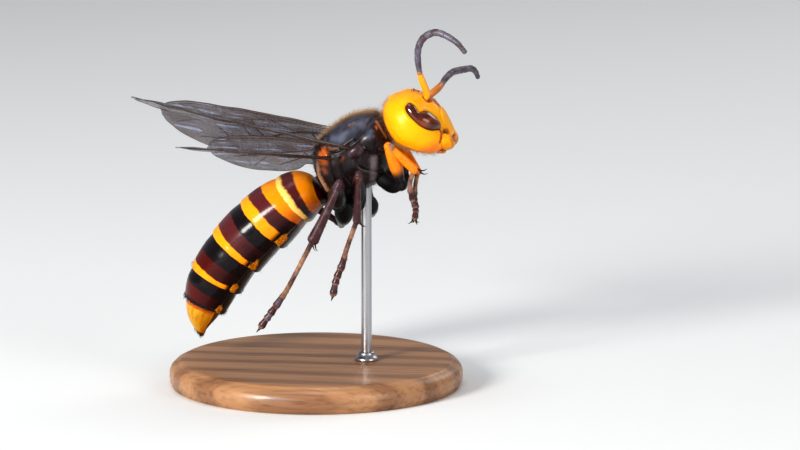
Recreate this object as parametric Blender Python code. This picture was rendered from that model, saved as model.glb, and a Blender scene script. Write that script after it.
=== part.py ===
"""An asian giant hornet in flight, life size, held on a plain display stand.

All lengths are metres, +Z is up, the head points to +X and the hornet's left side to +Y. The origin
is the middle of the stand's underside. The body's shapes are given in millimetres from the middle of
the thorax, BODY_AT, and each leg, wing and feeler is set into what it grows from and cut back from it.
"""

import math

import bmesh
import bpy
import numpy as np
from mathutils import Matrix, Vector
from mathutils.geometry import delaunay_2d_cdt

MM = 0.001
GAP = 0.3 * MM
BODY_AT = Vector((4.0, 0.0, 27.0)) * MM

# Stand
BASE_RADIUS = 17.0 * MM
BASE_HEIGHT = 3.0 * MM
BASE_EDGE = 0.8 * MM
ROD_RADIUS = 0.6 * MM
ROD_AHEAD = 1.9
ROD_TOP = -3.0

# Thorax: its length axis points up by THORAX_PITCH, and each row is a ring across it:
# length along the axis, height of the back, height of the underside, half width.
THORAX_PITCH = math.radians(30.0)
THORAX_SQUARE = 2.3
THORAX_RINGS = (
    (-4.3, 0.3, -2.5, 1.5),
    (-4.0, 1.5, -3.2, 2.3),
    (-3.1, 2.6, -3.7, 3.0),
    (-1.8, 3.2, -4.1, 3.6),
    (0.0, 3.75, -4.3, 3.95),
    (2.0, 3.9, -4.2, 3.95),
    (3.7, 3.55, -3.3, 3.6),
    (4.9, 3.0, -1.6, 2.8),
    (5.6, 2.3, -0.3, 1.7),
)
# The plates of the thorax are parted along these lines, drawn in its own length and height.
TEGULA_CORNER = (1.5, 0.2)
PRONOTUM_ZONE = (TEGULA_CORNER, (7.5, -3.7), (7.5, 2.7))
SCUTELLUM_ZONE = ((-0.3, 6.5), (-7.0, 6.5), (-7.0, 2.7), (-3.4, 2.0), (-1.0, 1.6), (-0.3, 2.9))
PROPODEUM_ZONE = ((-3.4, 2.0), (-7.0, 2.7), (-7.0, -6.5), (-2.9, -6.5), (-2.2, -1.5), (-1.9, 1.74))
MESOTHORAX_ZONE = (
    (-0.3, 6.5), (-0.3, 2.9), (-1.0, 1.6), (-1.9, 1.74), (-2.2, -1.5), (-2.9, -6.5),
    (7.5, -6.5), (7.5, -3.7), TEGULA_CORNER, (7.5, 2.7), (7.5, 6.5),
)
THORAX_SIDES = 20
ZONE_HALF = 6.0
TEGULA_SIZE = (1.35, 0.8, 0.95)
TEGULA_AT = (1.25, 3.7, 1.0)

# Head: its long axis runs from the crown down to the jaws, tipped by HEAD_TIP below the horizontal.
# Each row is a ring across it: length along the axis, reach of the face, reach of the nape, half width.
HEAD_AT = Vector((7.9, 0.0, 4.2))
HEAD_TIP = math.radians(56.0)
HEAD_SQUARE = 2.35
HEAD_RINGS = (
    (-3.9, -0.3, -1.5, 1.2),
    (-3.6, 0.8, -2.2, 2.6),
    (-2.9, 1.7, -2.8, 3.7),
    (-1.9, 2.2, -3.2, 4.4),
    (-0.6, 2.4, -3.4, 4.8),
    (0.8, 2.45, -3.3, 4.8),
    (2.0, 2.4, -2.6, 4.3),
    (3.0, 2.25, -1.8, 3.6),
    (3.7, 1.95, -1.1, 2.8),
)
CLYPEUS_AT = (1.75, 0.0, 1.75)
CLYPEUS_SIZE = (1.75, 2.25, 1.3)
EYE_PATH = ((-1.95, 3.7, 0.85), (-1.3, 3.9, 0.9), (-0.7, 3.85, 1.1), (0.15, 3.55, 1.5), (0.95, 3.2, 1.8),
            (1.6, 2.75, 2.05))
EYE_RADII = (0.6, 0.75, 0.8, 1.0, 0.95, 0.5)
HEAD_SIDES = 20
JAW_PATH = ((2.7, 2.9, 0.75), (3.6, 2.75, 1.0), (4.2, 2.0, 1.2), (4.5, 1.1, 1.4), (4.45, 0.3, 1.5))
JAW_RADII = (0.95, 1.05, 0.95, 0.7, 0.35)

# Feelers, from the socket on the face to the tip.
SCAPE_RADII = (0.28, 0.4, 0.42, 0.36)
FLAGELLUM_RADIUS = 0.47
FEELER_TIP_RADIUS = 0.3
FEELERS = {
    "R": {
        "scape": ((8.6, -1.2, 6.4), (9.1, -1.3, 7.4), (8.75, -1.9, 8.7), (8.45, -2.4, 9.75)),
        "base": ((8.4, -2.5, 10.0), (8.25, -2.9, 11.6), (8.4, -3.4, 13.0), (9.05, -4.1, 14.2)),
        "tip": ((9.3, -4.3, 14.5), (10.3, -4.8, 14.95), (11.5, -5.2, 14.8), (13.0, -5.6, 14.0),
                (14.0, -5.7, 12.9)),
    },
    "L": {
        "scape": ((8.6, 1.2, 6.4), (9.2, 1.4, 7.0), (9.8, 2.4, 7.5), (10.1, 3.6, 7.8)),
        "base": ((10.1, 3.8, 7.85), (10.4, 5.2, 8.35), (10.9, 6.6, 8.8), (11.4, 7.7, 8.9)),
        "tip": ((11.5, 7.8, 8.9), (12.0, 8.8, 8.9), (12.8, 9.8, 8.9), (13.2, 10.6, 8.4), (13.4, 11.2, 7.7)),
    },
}

# Gaster: the upper and the lower outline of the abdomen behind the waist, as pairs of points that one
# ring joins, with its half width. PLATE_ENDS and PLATE_GAP are counted in rings.
GASTER_RINGS = (
    ((-2.75, -4.3), (-2.45, -5.5), 0.75),
    ((-3.9, -3.2), (-3.0, -6.0), 2.3),
    ((-5.0, -2.35), (-3.5, -6.6), 3.5),
    ((-6.8, -2.1), (-4.0, -7.2), 4.3),
    ((-8.8, -2.95), (-4.8, -8.1), 4.7),
    ((-11.1, -4.3), (-6.6, -10.0), 4.85),
    ((-13.4, -6.3), (-8.6, -11.9), 4.8),
    ((-15.1, -8.1), (-10.1, -13.3), 4.65),
    ((-16.6, -10.1), (-11.4, -14.7), 4.4),
    ((-17.9, -12.1), (-12.4, -15.9), 4.05),
    ((-18.8, -14.1), (-13.4, -17.2), 3.6),
    ((-19.25, -15.9), (-14.4, -18.4), 3.05),
    ((-19.25, -17.7), (-15.4, -19.5), 2.4),
    ((-18.9, -19.6), (-16.4, -20.6), 1.45),
    ((-17.75, -21.6), (-17.3, -21.7), 0.25),
)
GASTER_SQUARE = 2.1
GASTER_SIDES = 20
PLATE_ENDS = (0, 3.9, 5.75, 7.65, 9.6, 11.6, 14)
PLATE_NECK = 0.92
PLATE_GAP = 0.16
FIRST_PLATE_SHARES = (0.14, 0.28, 0.45, 0.62, 0.8)
PLATE_SHARES = (0.1, 0.35, 0.6, 0.8)
PETIOLE_RADII = (0.8, 0.62, 0.8)
PETIOLE_PATH = ((-1.3, 0.0, -4.1), (-1.9, 0.0, -4.75), (-2.6, 0.0, -5.05))

# Legs: the right ones as the photograph shows them, the left ones held folded against the body.
LEG_JOINTS = {
    "front_R": {
        "coxa": ((4.0, -1.6, -2.6), (5.2, -2.2, -3.5), (6.3, -3.0, -3.2)),
        "femur": ((6.5, -3.2, -2.9), (5.9, -4.2, -0.4), (5.1, -5.1, 2.0)),
        "tibia": ((5.2, -5.1, 2.0), (6.8, -4.6, 0.4), (8.1, -4.1, -0.9)),
        "tarsus": ((8.0, -4.1, -1.0), (7.5, -3.9, -2.4), (7.6, -3.6, -4.0), (8.0, -3.3, -5.4),
                   (7.9, -3.1, -6.6)),
    },
    "mid_R": {
        "coxa": ((0.9, -1.7, -3.3), (1.1, -2.5, -4.7), (1.5, -3.5, -5.2)),
        "femur": ((1.5, -3.6, -5.0), (1.9, -6.0, -3.0), (2.2, -8.0, -0.9)),
        "tibia": ((2.2, -8.0, -1.0), (2.0, -7.5, -4.0), (1.85, -7.0, -6.4)),
        "tarsus": ((1.8, -7.0, -6.5), (0.7, -7.0, -9.6), (0.2, -7.0, -11.4), (-0.5, -7.0, -13.2),
                   (-0.9, -7.0, -15.0)),
    },
    "hind_R": {
        "coxa": ((-0.6, -1.5, -3.2), (-1.0, -2.1, -4.6), (-1.0, -3.2, -5.3)),
        "femur": ((-1.0, -3.3, -5.1), (-0.5, -6.2, -3.8), (0.1, -8.5, -1.9)),
        "tibia": ((0.1, -8.5, -2.0), (-1.5, -8.5, -5.5), (-2.95, -8.5, -8.5)),
        "tarsus": ((-3.0, -8.5, -8.6), (-5.7, -8.4, -13.8), (-6.9, -8.2, -15.7), (-8.1, -8.0, -17.4),
                   (-9.1, -7.9, -18.8)),
    },
    "front_L": {
        "coxa": ((4.0, 1.6, -2.6), (5.2, 2.2, -3.5), (6.0, 3.1, -3.4)),
        "femur": ((6.0, 3.3, -3.2), (5.4, 4.4, -1.0), (4.8, 5.4, 1.2)),
        "tibia": ((4.9, 5.4, 1.2), (6.2, 4.7, -0.8), (7.3, 3.9, -2.5)),
        "tarsus": ((7.3, 3.8, -2.6), (7.1, 3.5, -4.0), (7.1, 3.2, -5.3), (7.3, 3.0, -6.6),
                   (7.2, 2.9, -7.7)),
    },
    "mid_L": {
        "coxa": ((0.9, 1.7, -3.3), (1.1, 2.5, -4.7), (1.5, 3.5, -5.5)),
        "femur": ((1.5, 3.6, -5.5), (1.6, 5.4, -6.8), (1.5, 7.2, -8.0)),
        "tibia": ((1.5, 7.3, -7.9), (0.3, 7.4, -4.8), (-0.9, 7.2, -1.9)),
        "tarsus": ((-1.0, 7.2, -1.8), (-3.6, 6.8, -3.2), (-5.0, 6.6, -4.1), (-6.4, 6.5, -5.1),
                   (-7.6, 6.4, -6.1)),
    },
    "hind_L": {
        "coxa": ((-0.6, 1.5, -3.2), (-1.0, 2.1, -4.6), (-1.0, 3.2, -5.5)),
        "femur": ((-1.0, 3.3, -5.6), (-1.5, 5.2, -7.6), (-2.1, 7.0, -9.3)),
        "tibia": ((-2.2, 7.1, -9.3), (-4.9, 7.4, -7.7), (-7.6, 7.5, -6.6)),
        "tarsus": ((-7.8, 7.5, -6.6), (-11.4, 7.0, -8.6), (-13.2, 6.6, -10.2), (-14.8, 6.1, -12.0),
                   (-15.8, 5.6, -13.6)),
    },
}
COXA_RADII = (1.0, 1.1, 0.75)
FEMUR_RADII = {"front": (0.55, 0.85, 0.6), "mid": (0.5, 0.95, 0.58), "hind": (0.55, 1.05, 0.62)}
TIBIA_RADII = {"front": (0.45, 0.55, 0.62), "mid": (0.48, 0.6, 0.62), "hind": (0.5, 0.6, 0.7)}
# The foot's joints as shares of its length, and how thick each is just after its start and near its end.
TARSUS_RADIUS = 0.38
TARSUS_SHARES = (0.42, 0.18, 0.13, 0.1, 0.17)
TARSUS_BEAD = ((0.04, 0.72), (0.9, 1.15))
# Spurs and claws: their root's depth and radius, and how far the tip lies along the limb and out from it.
SPUR_ROOT = (0.3, 0.22)
SPUR_REACH = (0.8, 1.05)
CLAW_ROOT = (0.3, 0.16)
CLAW_ROOT_SPREAD = 0.19
CLAW_REACH = (0.72, 0.7)
SPIKE_TIP = 0.06

# Wings: outline and main veins in the wing's own plane, length along the wing and height of the
# leading side, in millimetres from the hinge.
MEMBRANE = 0.5
VEIN_HEIGHT = 0.14
VEIN_WIDTH = 0.34
FOREWING_OUTLINE = (
    (-0.8, 0.35), (3.0, 0.95), (9.0, 1.3), (16.0, 1.55), (20.5, 1.5), (24.3, 0.9), (26.8, -0.5),
    (27.5, -2.1), (26.3, -3.9), (23.5, -5.2), (19.5, -6.0), (15.8, -6.0), (12.0, -4.9), (7.5, -3.4),
    (3.0, -1.7), (-0.8, -0.6),
)
FOREWING_VEINS = (
    ((-0.4, 0.0), (3.0, 0.6), (9.0, 0.95), (16.0, 1.15), (20.5, 1.1), (24.3, 0.45)),
    ((0.2, -0.15), (4.5, -0.5), (8.5, -1.1), (14.0, -3.3), (17.5, -4.4)),
    ((8.5, -1.1), (12.2, 1.0)),
    ((11.6, 0.6), (17.0, -0.9), (22.5, -2.0), (25.6, -2.9)),
    ((17.4, 1.1), (18.6, -0.3), (22.0, -0.55), (24.3, 0.45)),
    ((2.5, -1.0), (7.0, -2.6), (12.0, -4.1)),
    ((16.4, -0.7), (15.2, -3.7)),
    ((20.3, -1.6), (18.4, -4.0)),
)
HINDWING_OUTLINE = (
    (-0.8, 0.3), (4.0, 0.75), (9.0, 1.15), (13.5, 1.0), (17.5, 0.2), (19.4, -1.2), (18.3, -2.8),
    (15.0, -3.9), (11.0, -4.3), (7.2, -3.9), (5.6, -3.0), (3.4, -2.9), (1.4, -1.8), (-0.8, -0.5),
)
HINDWING_VEINS = (
    ((-0.4, 0.0), (4.0, 0.4), (9.0, 0.75), (13.5, 0.6), (17.0, 0.0)),
    ((0.2, -0.2), (5.5, -1.1), (10.5, -1.7), (16.0, -2.4)),
    ((9.5, 0.7), (10.4, -1.7)),
    ((1.5, -0.7), (5.0, -1.9), (9.5, -3.3)),
)
WING_CAMBER = 0.03
WING_BOW_AT = -1.5
VEIN_STEP = 3.0
PLAN_SPACING = 0.24
WINGS = {
    "forewing_L": {"hinge": (0.4, 3.9, 1.5), "tip": (-26.1, 14.0, 3.8), "lead": (0.0, -0.63, 0.77)},
    "hindwing_L": {"hinge": (-2.2, 3.4, 0.5), "tip": (-19.9, 12.5, -0.6), "lead": (0.0, -0.6, 0.8)},
    "forewing_R": {"hinge": (0.4, -3.9, 1.5), "tip": (-20.5, -20.4, 9.15), "lead": (0.14, -0.97, 0.17)},
    "hindwing_R": {"hinge": (-1.7, -3.5, 0.2), "tip": (-16.5, -15.2, 2.9), "lead": (0.14, -0.97, 0.17)},
}

# Colours, roughness and metallic value of each material.
FINISHES = {
    "yellow_shell": ((0.95, 0.55, 0.04), 0.3, 0.0),
    "orange_shell": ((0.85, 0.32, 0.03), 0.3, 0.0),
    "dark_shell": ((0.03, 0.02, 0.025), 0.28, 0.0),
    "banded_shell": ((0.45, 0.13, 0.03), 0.28, 0.0),
    "eye": ((0.12, 0.015, 0.01), 0.12, 0.0),
    "leg": ((0.2, 0.07, 0.04), 0.4, 0.0),
    "feeler": ((0.25, 0.07, 0.03), 0.4, 0.0),
    "wing": ((0.2, 0.11, 0.06), 0.25, 0.0),
    "stand_wood": ((0.55, 0.38, 0.22), 0.5, 0.0),
    "stand_steel": ((0.6, 0.6, 0.62), 0.3, 1.0),
}


def clear_scene():
    for old in list(bpy.data.objects):
        bpy.data.objects.remove(old, do_unlink=True)


def new_collection(name):
    collection = bpy.data.collections.new(name)
    bpy.context.scene.collection.children.link(collection)
    return collection


def material(name):
    """The Principled material of a finish, made once."""
    if name in bpy.data.materials:
        return bpy.data.materials[name]
    colour, roughness, metallic = FINISHES[name]
    made = bpy.data.materials.new(name)
    made.use_nodes = True
    shader = made.node_tree.nodes["Principled BSDF"]
    shader.inputs["Base Color"].default_value = (*colour, 1.0)
    shader.inputs["Roughness"].default_value = roughness
    shader.inputs["Metallic"].default_value = metallic
    return made


def body_point(x, y, z):
    """A place given in millimetres from the middle of the thorax."""
    return BODY_AT + Vector((x, y, z)) * MM


def thorax_point(length, side, height):
    """A place given along the thorax's own length and height."""
    cos, sin = math.cos(THORAX_PITCH), math.sin(THORAX_PITCH)
    return body_point(length * cos - height * sin, side, length * sin + height * cos)


def head_point(down, side, front):
    """A place given down the face from the head's middle, and out in front of it."""
    cos, sin = math.cos(HEAD_TIP), math.sin(HEAD_TIP)
    x = HEAD_AT.x + down * cos + front * sin
    return body_point(x, side, HEAD_AT.z - down * sin + front * cos)


def smooth_rows(rows, steps):
    """Rows of numbers on a smooth curve through the given rows, with steps in each span."""
    rows = np.array(rows, dtype=float)
    ends = np.vstack([2 * rows[0] - rows[1], rows, 2 * rows[-1] - rows[-2]])
    made = []
    for k in range(len(rows) - 1):
        a, b, c, d = ends[k:k + 4]
        for t in np.arange(steps) / steps:
            made.append(0.5 * (2 * b + (c - a) * t + (2 * a - 5 * b + 4 * c - d) * t ** 2
                               + (3 * b - a - 3 * c + d) * t ** 3))
    made.append(rows[-1])
    return np.array(made)


def row_at(rows, place):
    """One row on the smooth curve, at a place counted in spans from the first."""
    steps = 100
    fine = smooth_rows(rows, steps)
    return fine[min(int(round(place * steps)), len(fine) - 1)]


def ring_points(upper, lower, half_width, square, sides):
    """A rounded ring from its highest to its lowest point, flattened towards a box as square grows."""
    middle = (upper + lower) / 2
    up = (upper - lower) / 2
    points = []
    for k in range(sides):
        angle = math.tau * k / sides
        along = math.copysign(abs(math.sin(angle)) ** (2 / square), math.sin(angle))
        across = math.copysign(abs(math.cos(angle)) ** (2 / square), math.cos(angle))
        points.append(middle + up * along + Vector((0.0, half_width * across, 0.0)))
    return points


def mesh_object(name, build, finish):
    """An object whose mesh is filled by a function that gets an empty bmesh."""
    mesh = bpy.data.meshes.new(name)
    shape = bmesh.new()
    build(shape)
    bmesh.ops.recalc_face_normals(shape, faces=shape.faces)
    shape.to_mesh(mesh)
    shape.free()
    mesh.shade_smooth()
    mesh.set_sharp_from_angle(angle=math.radians(35.0))
    made = bpy.data.objects.new(name, mesh)
    HORNET.objects.link(made)
    if finish:
        mesh.materials.append(material(finish))
    return made


def lofted(name, rings, finish):
    """A closed solid through rings of points, its ends closed flat."""
    def build(shape):
        loops = [[shape.verts.new(point) for point in ring] for ring in rings]
        sides = len(rings[0])
        for near, far in zip(loops, loops[1:]):
            for k in range(sides):
                after = (k + 1) % sides
                shape.faces.new((near[k], near[after], far[after], far[k]))
        for end in (loops[0], loops[-1]):
            shape.faces.new(end)
    return mesh_object(name, build, finish)


def ellipsoid(name, middle, sizes, turn, finish, sides=16):
    """A rounded lens, its half sizes along three axes and then turned."""
    def build(shape):
        place = Matrix.Translation(middle) @ turn.to_4x4() @ Matrix.Diagonal((*(s * MM for s in sizes), 1))
        bmesh.ops.create_uvsphere(shape, u_segments=sides, v_segments=sides // 2, radius=1.0, matrix=place)
    return mesh_object(name, build, finish)


def evaluated_mesh(made):
    """The object's mesh with its modifiers, in place of the object's own."""
    graph = bpy.context.evaluated_depsgraph_get()
    mesh = bpy.data.meshes.new_from_object(made.evaluated_get(graph))
    mesh.name = made.name
    return mesh


def tube(name, points, finish, side_steps):
    """A round tube through rows of a place and a radius: a curve with a bevel, made a mesh."""
    curve = bpy.data.curves.new(name, "CURVE")
    curve.dimensions = "3D"
    curve.bevel_depth = MM
    curve.bevel_resolution = side_steps
    curve.use_fill_caps = True
    spline = curve.splines.new("POLY")
    spline.points.add(len(points) - 1)
    for knot, (x, y, z, radius) in zip(spline.points, points):
        knot.co = (*body_point(x, y, z), 1.0)
        knot.radius = radius
    guide = bpy.data.objects.new(name + "_curve", curve)
    HORNET.objects.link(guide)
    mesh = evaluated_mesh(guide)
    bpy.data.objects.remove(guide, do_unlink=True)
    bpy.data.curves.remove(curve)

    def build(shape):
        shape.from_mesh(mesh)
        bmesh.ops.remove_doubles(shape, verts=shape.verts, dist=0.01 * MM)
    made = mesh_object(name, build, finish)
    bpy.data.meshes.remove(mesh)
    return made


def limb(name, path, radii, finish, side_steps=2):
    """A smooth round limb with rounded ends."""
    rows = [(*point, radius) for point, radius in zip(path, spread(radii, len(path)))]
    return tube(name, with_round_ends(smooth_rows(rows, 2)), finish, side_steps)


def spread(values, count):
    """The values read evenly at count places."""
    return np.interp(np.linspace(0, len(values) - 1, count), range(len(values)), values)


def with_round_ends(points):
    """The path with a narrow row just beyond each end, so the limb closes round."""
    ends = []
    for end, inner in ((points[0], points[1]), (points[-1], points[-2])):
        way = end[:3] - inner[:3]
        way /= np.linalg.norm(way)
        ends.append(np.array([*(end[:3] + way * end[3] * 0.6), end[3] * 0.5]))
    return np.vstack([ends[0], points, ends[1]])


def swelled(made, distance=GAP):
    """A copy of a solid grown by the distance, for cutting its neighbours back."""
    copy = made.copy()
    copy.data = made.data.copy()
    shape = bmesh.new()
    shape.from_mesh(copy.data)
    shape.normal_update()
    moves = [(vert, vert.normal * distance) for vert in shape.verts]
    for vert, move in moves:
        vert.co += move
    shape.to_mesh(copy.data)
    shape.free()
    return as_cutter(copy)


def as_cutter(made):
    """Moves an object to the cutters, which aren't part of the hornet."""
    if made.name in HORNET.objects:
        HORNET.objects.unlink(made)
    CUTTERS.objects.link(made)
    made.hide_render = True
    made.display_type = "WIRE"
    return made


def drop(made):
    mesh = made.data
    bpy.data.objects.remove(made, do_unlink=True)
    bpy.data.meshes.remove(mesh)


def keep_largest(made):
    """Keeps only the largest closed surface of a mesh."""
    shape = bmesh.new()
    shape.from_mesh(made.data)
    bmesh.ops.remove_doubles(shape, verts=shape.verts, dist=0.002 * MM)
    bmesh.ops.dissolve_degenerate(shape, edges=shape.edges, dist=0.001 * MM)
    left = set(shape.faces)
    pieces = []
    while left:
        piece = {left.pop()}
        edge = list(piece)
        while edge:
            face = edge.pop()
            around = {other for side in face.edges for other in side.link_faces} & left
            left -= around
            piece |= around
            edge.extend(around)
        pieces.append(piece)
    pieces.sort(key=lambda piece: sum(face.calc_area() for face in piece))
    extra = [face for piece in pieces[:-1] for face in piece]
    bmesh.ops.delete(shape, geom=extra, context="FACES")
    loose = [vert for vert in shape.verts if not vert.link_faces]
    bmesh.ops.delete(shape, geom=loose, context="VERTS")
    shape.to_mesh(made.data)
    shape.free()


def combine(made, other, operation):
    """Applies one Boolean with another closed object, which is then removed."""
    step = made.modifiers.new(operation.lower(), "BOOLEAN")
    step.operation = operation
    step.object = other
    step.solver = "EXACT"
    mesh = evaluated_mesh(made)
    old = made.data
    made.modifiers.clear()
    made.data = mesh
    bpy.data.meshes.remove(old)
    drop(other)
    keep_largest(made)


def cut_back(made, *neighbours):
    """Cuts a solid back from what it grows from, leaving the gap between them."""
    for neighbour in neighbours:
        combine(made, swelled(neighbour), "DIFFERENCE")
    return made


def zone_block(name, zone):
    """A cutter across the whole thorax whose side view is the zone, drawn in by half the gap."""
    count = len(zone)
    corners = [Vector(point) for point in zone]
    area = sum(a.x * b.y - b.x * a.y for a, b in zip(corners, corners[1:] + corners[:1]))
    turn = math.copysign(1.0, area)
    inset = []
    for k in range(count):
        before = (corners[k] - corners[k - 1]).normalized()
        after = (corners[(k + 1) % count] - corners[k]).normalized()
        inward = [Vector((-way.y, way.x)) * turn for way in (before, after)]
        bend = (inward[0] + inward[1]).normalized()
        inset.append(corners[k] + bend * (GAP / MM / 2) / bend.dot(inward[0]))
    rings = [[thorax_point(point.x, side, point.y) for point in inset] for side in (-ZONE_HALF, ZONE_HALF)]
    return as_cutter(lofted(name, rings, None))


def make_thorax():
    """The thorax is shaped whole and parted into its plates."""
    rows = smooth_rows(THORAX_RINGS, 2)
    rings = [
        ring_points(thorax_point(length, 0, back), thorax_point(length, 0, under), half * MM,
                    THORAX_SQUARE, THORAX_SIDES)
        for length, back, under, half in rows
    ]
    zones = {
        "pronotum": PRONOTUM_ZONE,
        "thorax": MESOTHORAX_ZONE,
        "scutellum": SCUTELLUM_ZONE,
        "propodeum": PROPODEUM_ZONE,
    }
    made = {}
    for name, zone in zones.items():
        made[name] = lofted(name, rings, "dark_shell")
        combine(made[name], zone_block(name + "_block", zone), "INTERSECT")
    return made


def make_head(plates):
    """The head with its sunk eyes and face plate, its jaws, and its back clear of the thorax."""
    rings = [
        ring_points(head_point(down, 0, face), head_point(down, 0, nape), half * MM,
                    HEAD_SQUARE, HEAD_SIDES)
        for down, face, nape, half in smooth_rows(HEAD_RINGS, 2)
    ]
    head = lofted("head", rings, "yellow_shell")
    tilt = Matrix.Rotation(HEAD_TIP - math.radians(90.0), 3, "Y")
    down, front, side = CLYPEUS_AT[0], CLYPEUS_AT[2], CLYPEUS_AT[1]
    sizes = (CLYPEUS_SIZE[2], CLYPEUS_SIZE[1], CLYPEUS_SIZE[0])
    clypeus = ellipsoid("clypeus", head_point(down, side, front), sizes, tilt, "yellow_shell")
    cut_back(head, clypeus, plates["pronotum"], plates["thorax"])
    pieces = {"head": head, "clypeus": clypeus}
    for sign, letter in ((1, "L"), (-1, "R")):
        eye = limb("eye_" + letter, local_path(EYE_PATH, sign), EYE_RADII, "eye", side_steps=3)
        cut_back(head, eye)
        cut_back(clypeus, eye)
        jaw = limb("mandible_" + letter, local_path(JAW_PATH, sign), JAW_RADII, "orange_shell")
        pieces["eye_" + letter] = eye
        pieces["mandible_" + letter] = jaw
    for letter in "LR":
        cut_back(pieces["mandible_" + letter], head, clypeus)
    return pieces


def local_path(path, sign):
    """Points given on the head's own axes, as millimetres on the body's axes."""
    return [tuple((head_point(down, side * sign, front) - BODY_AT) / MM) for down, side, front in path]


def make_feelers(head, clypeus):
    made = []
    for letter, path in FEELERS.items():
        name = "antenna_" + letter
        scape = limb(name + "_scape", path["scape"], SCAPE_RADII, "orange_shell", side_steps=1)
        cut_back(scape, head, clypeus)
        flagellum = (FLAGELLUM_RADIUS * 0.8, FLAGELLUM_RADIUS)
        base = limb(name + "_base", path["base"], flagellum, "feeler", side_steps=1)
        cut_back(base, scape)
        tip = limb(name + "_tip", path["tip"], (FLAGELLUM_RADIUS, FEELER_TIP_RADIUS), "feeler", side_steps=1)
        cut_back(tip, base)
        made += [scape, base, tip]
    return made


def gaster_ring(place, scale):
    """One ring of the gaster at a place counted in rings, drawn in to a share of its size."""
    rows = [(*upper, *lower, half) for upper, lower, half in GASTER_RINGS]
    top_x, top_z, low_x, low_z, half = row_at(rows, place)
    upper, lower = body_point(top_x, 0, top_z), body_point(low_x, 0, low_z)
    middle = (upper + lower) / 2
    upper, lower = middle + (upper - middle) * scale, middle + (lower - middle) * scale
    return ring_points(upper, lower, half * scale * MM, GASTER_SQUARE, GASTER_SIDES)


def make_gaster():
    """Six plates, each with a neck drawn in under the rim of the one before it."""
    made = []
    for number, (start, end) in enumerate(zip(PLATE_ENDS, PLATE_ENDS[1:]), 1):
        places = [(start, 1.0)]
        shares = FIRST_PLATE_SHARES
        if number > 1:
            start += PLATE_GAP
            places = [(start, PLATE_NECK)]
            shares = PLATE_SHARES
        places += [(start + share * (end - start), 1.0) for share in shares]
        places.append((end, 1.0))
        finish = "orange_shell" if number == len(PLATE_ENDS) - 1 else "banded_shell"
        rings = [gaster_ring(place, scale) for place, scale in places]
        made.append(lofted(f"gaster_{number}", rings, finish))
    return made


def spine(name, root, tip, radius):
    """A tapered spike from a root to its tip, in millimetres."""
    root, tip = body_point(*root), body_point(*tip)
    way = tip - root

    def build(shape):
        place = Matrix.Translation((root + tip) / 2) @ way.to_track_quat("Z", "Y").to_matrix().to_4x4()
        bmesh.ops.create_cone(shape, cap_ends=True, segments=5, radius1=radius * MM, radius2=SPIKE_TIP * MM,
                              depth=way.length, matrix=place)
    return mesh_object(name, build, None)


def join_spines(made, spikes):
    """Fuses spikes into the node they grow from with one union."""
    group = new_collection(made.name + "_spikes")
    for spike in spikes:
        HORNET.objects.unlink(spike)
        group.objects.link(spike)
    step = made.modifiers.new("union", "BOOLEAN")
    step.operation = "UNION"
    step.operand_type = "COLLECTION"
    step.collection = group
    step.solver = "EXACT"
    mesh = evaluated_mesh(made)
    old = made.data
    made.modifiers.clear()
    made.data = mesh
    bpy.data.meshes.remove(old)
    for spike in spikes:
        drop(spike)
    bpy.data.collections.remove(group)
    keep_largest(made)


def unit(way):
    return way / np.linalg.norm(way)


def claws(path):
    """Two hooks at the end of a foot, spread apart."""
    end = np.array(path[-1])
    way = unit(end - np.array(path[-2]))
    across = unit(np.cross(way, (0.0, 0.0, 1.0)))
    depth, radius = CLAW_ROOT
    ahead, out = CLAW_REACH
    hooks = []
    for side in (across, -across):
        root = end - way * depth + side * CLAW_ROOT_SPREAD
        hooks.append(spine("claw", root, end + way * ahead + side * out, radius))
    return hooks


def spur(tibia_path, foot_path):
    """The spike at the end of a tibia, on the side away from the foot."""
    end = np.array(tibia_path[-1])
    way = unit(end - np.array(tibia_path[-2]))
    foot = np.array(foot_path[1]) - end
    side = unit(way * foot.dot(way) - foot)
    depth, radius = SPUR_ROOT
    ahead, out = SPUR_REACH
    return spine("spur", end - way * depth + side * radius, end + way * ahead + side * out, radius)


def tarsus_rows(path):
    """The foot's small joints, each swelling a little towards its end, as places with a radius."""
    fine = smooth_rows(path, 10)
    rows = []
    start = 0.0
    for length in TARSUS_SHARES:
        for share, scale in TARSUS_BEAD:
            place = start + length * share
            rows.append((*fine[int(round(place * (len(fine) - 1)))], TARSUS_RADIUS * scale))
        start += length
    return rows


def make_leg(name, joints, carriers):
    """Four nodes of one leg, each grown from the one before it."""
    kind = name.split("_")[0]
    leg = "leg_" + name
    thigh, shin = ("orange_shell", "orange_shell") if kind == "front" else ("dark_shell", "leg")
    coxa = limb(leg + "_coxa", joints["coxa"], COXA_RADII, "dark_shell")
    cut_back(coxa, *carriers)
    femur = limb(leg + "_femur", joints["femur"], FEMUR_RADII[kind], thigh)
    cut_back(femur, coxa, *carriers)
    tibia = limb(leg + "_tibia", joints["tibia"], TIBIA_RADII[kind], shin)
    cut_back(tibia, femur)
    tarsus = tube(leg + "_tarsus", tarsus_rows(joints["tarsus"]), "leg", side_steps=1)
    cut_back(tarsus, tibia)
    join_spines(tibia, [spur(joints["tibia"], joints["tarsus"])])
    join_spines(tarsus, claws(joints["tarsus"]))
    return coxa


def along(path, step):
    """Points on a line of straight runs, no further apart than step."""
    points = [Vector(path[0])]
    for a, b in zip(path, path[1:]):
        a, b = Vector(a), Vector(b)
        count = max(1, math.ceil((b - a).length / step))
        points += [a.lerp(b, k / count) for k in range(1, count + 1)]
    return points


def vein_distance(point, veins):
    """How far a place on the wing lies from its nearest vein."""
    nearest = math.inf
    for vein in veins:
        for a, b in zip(vein, vein[1:]):
            a, b = Vector(a), Vector(b)
            run = b - a
            share = max(0.0, min(1.0, (point - a).dot(run) / run.length_squared))
            nearest = min(nearest, (a + run * share - point).length)
    return nearest


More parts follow.
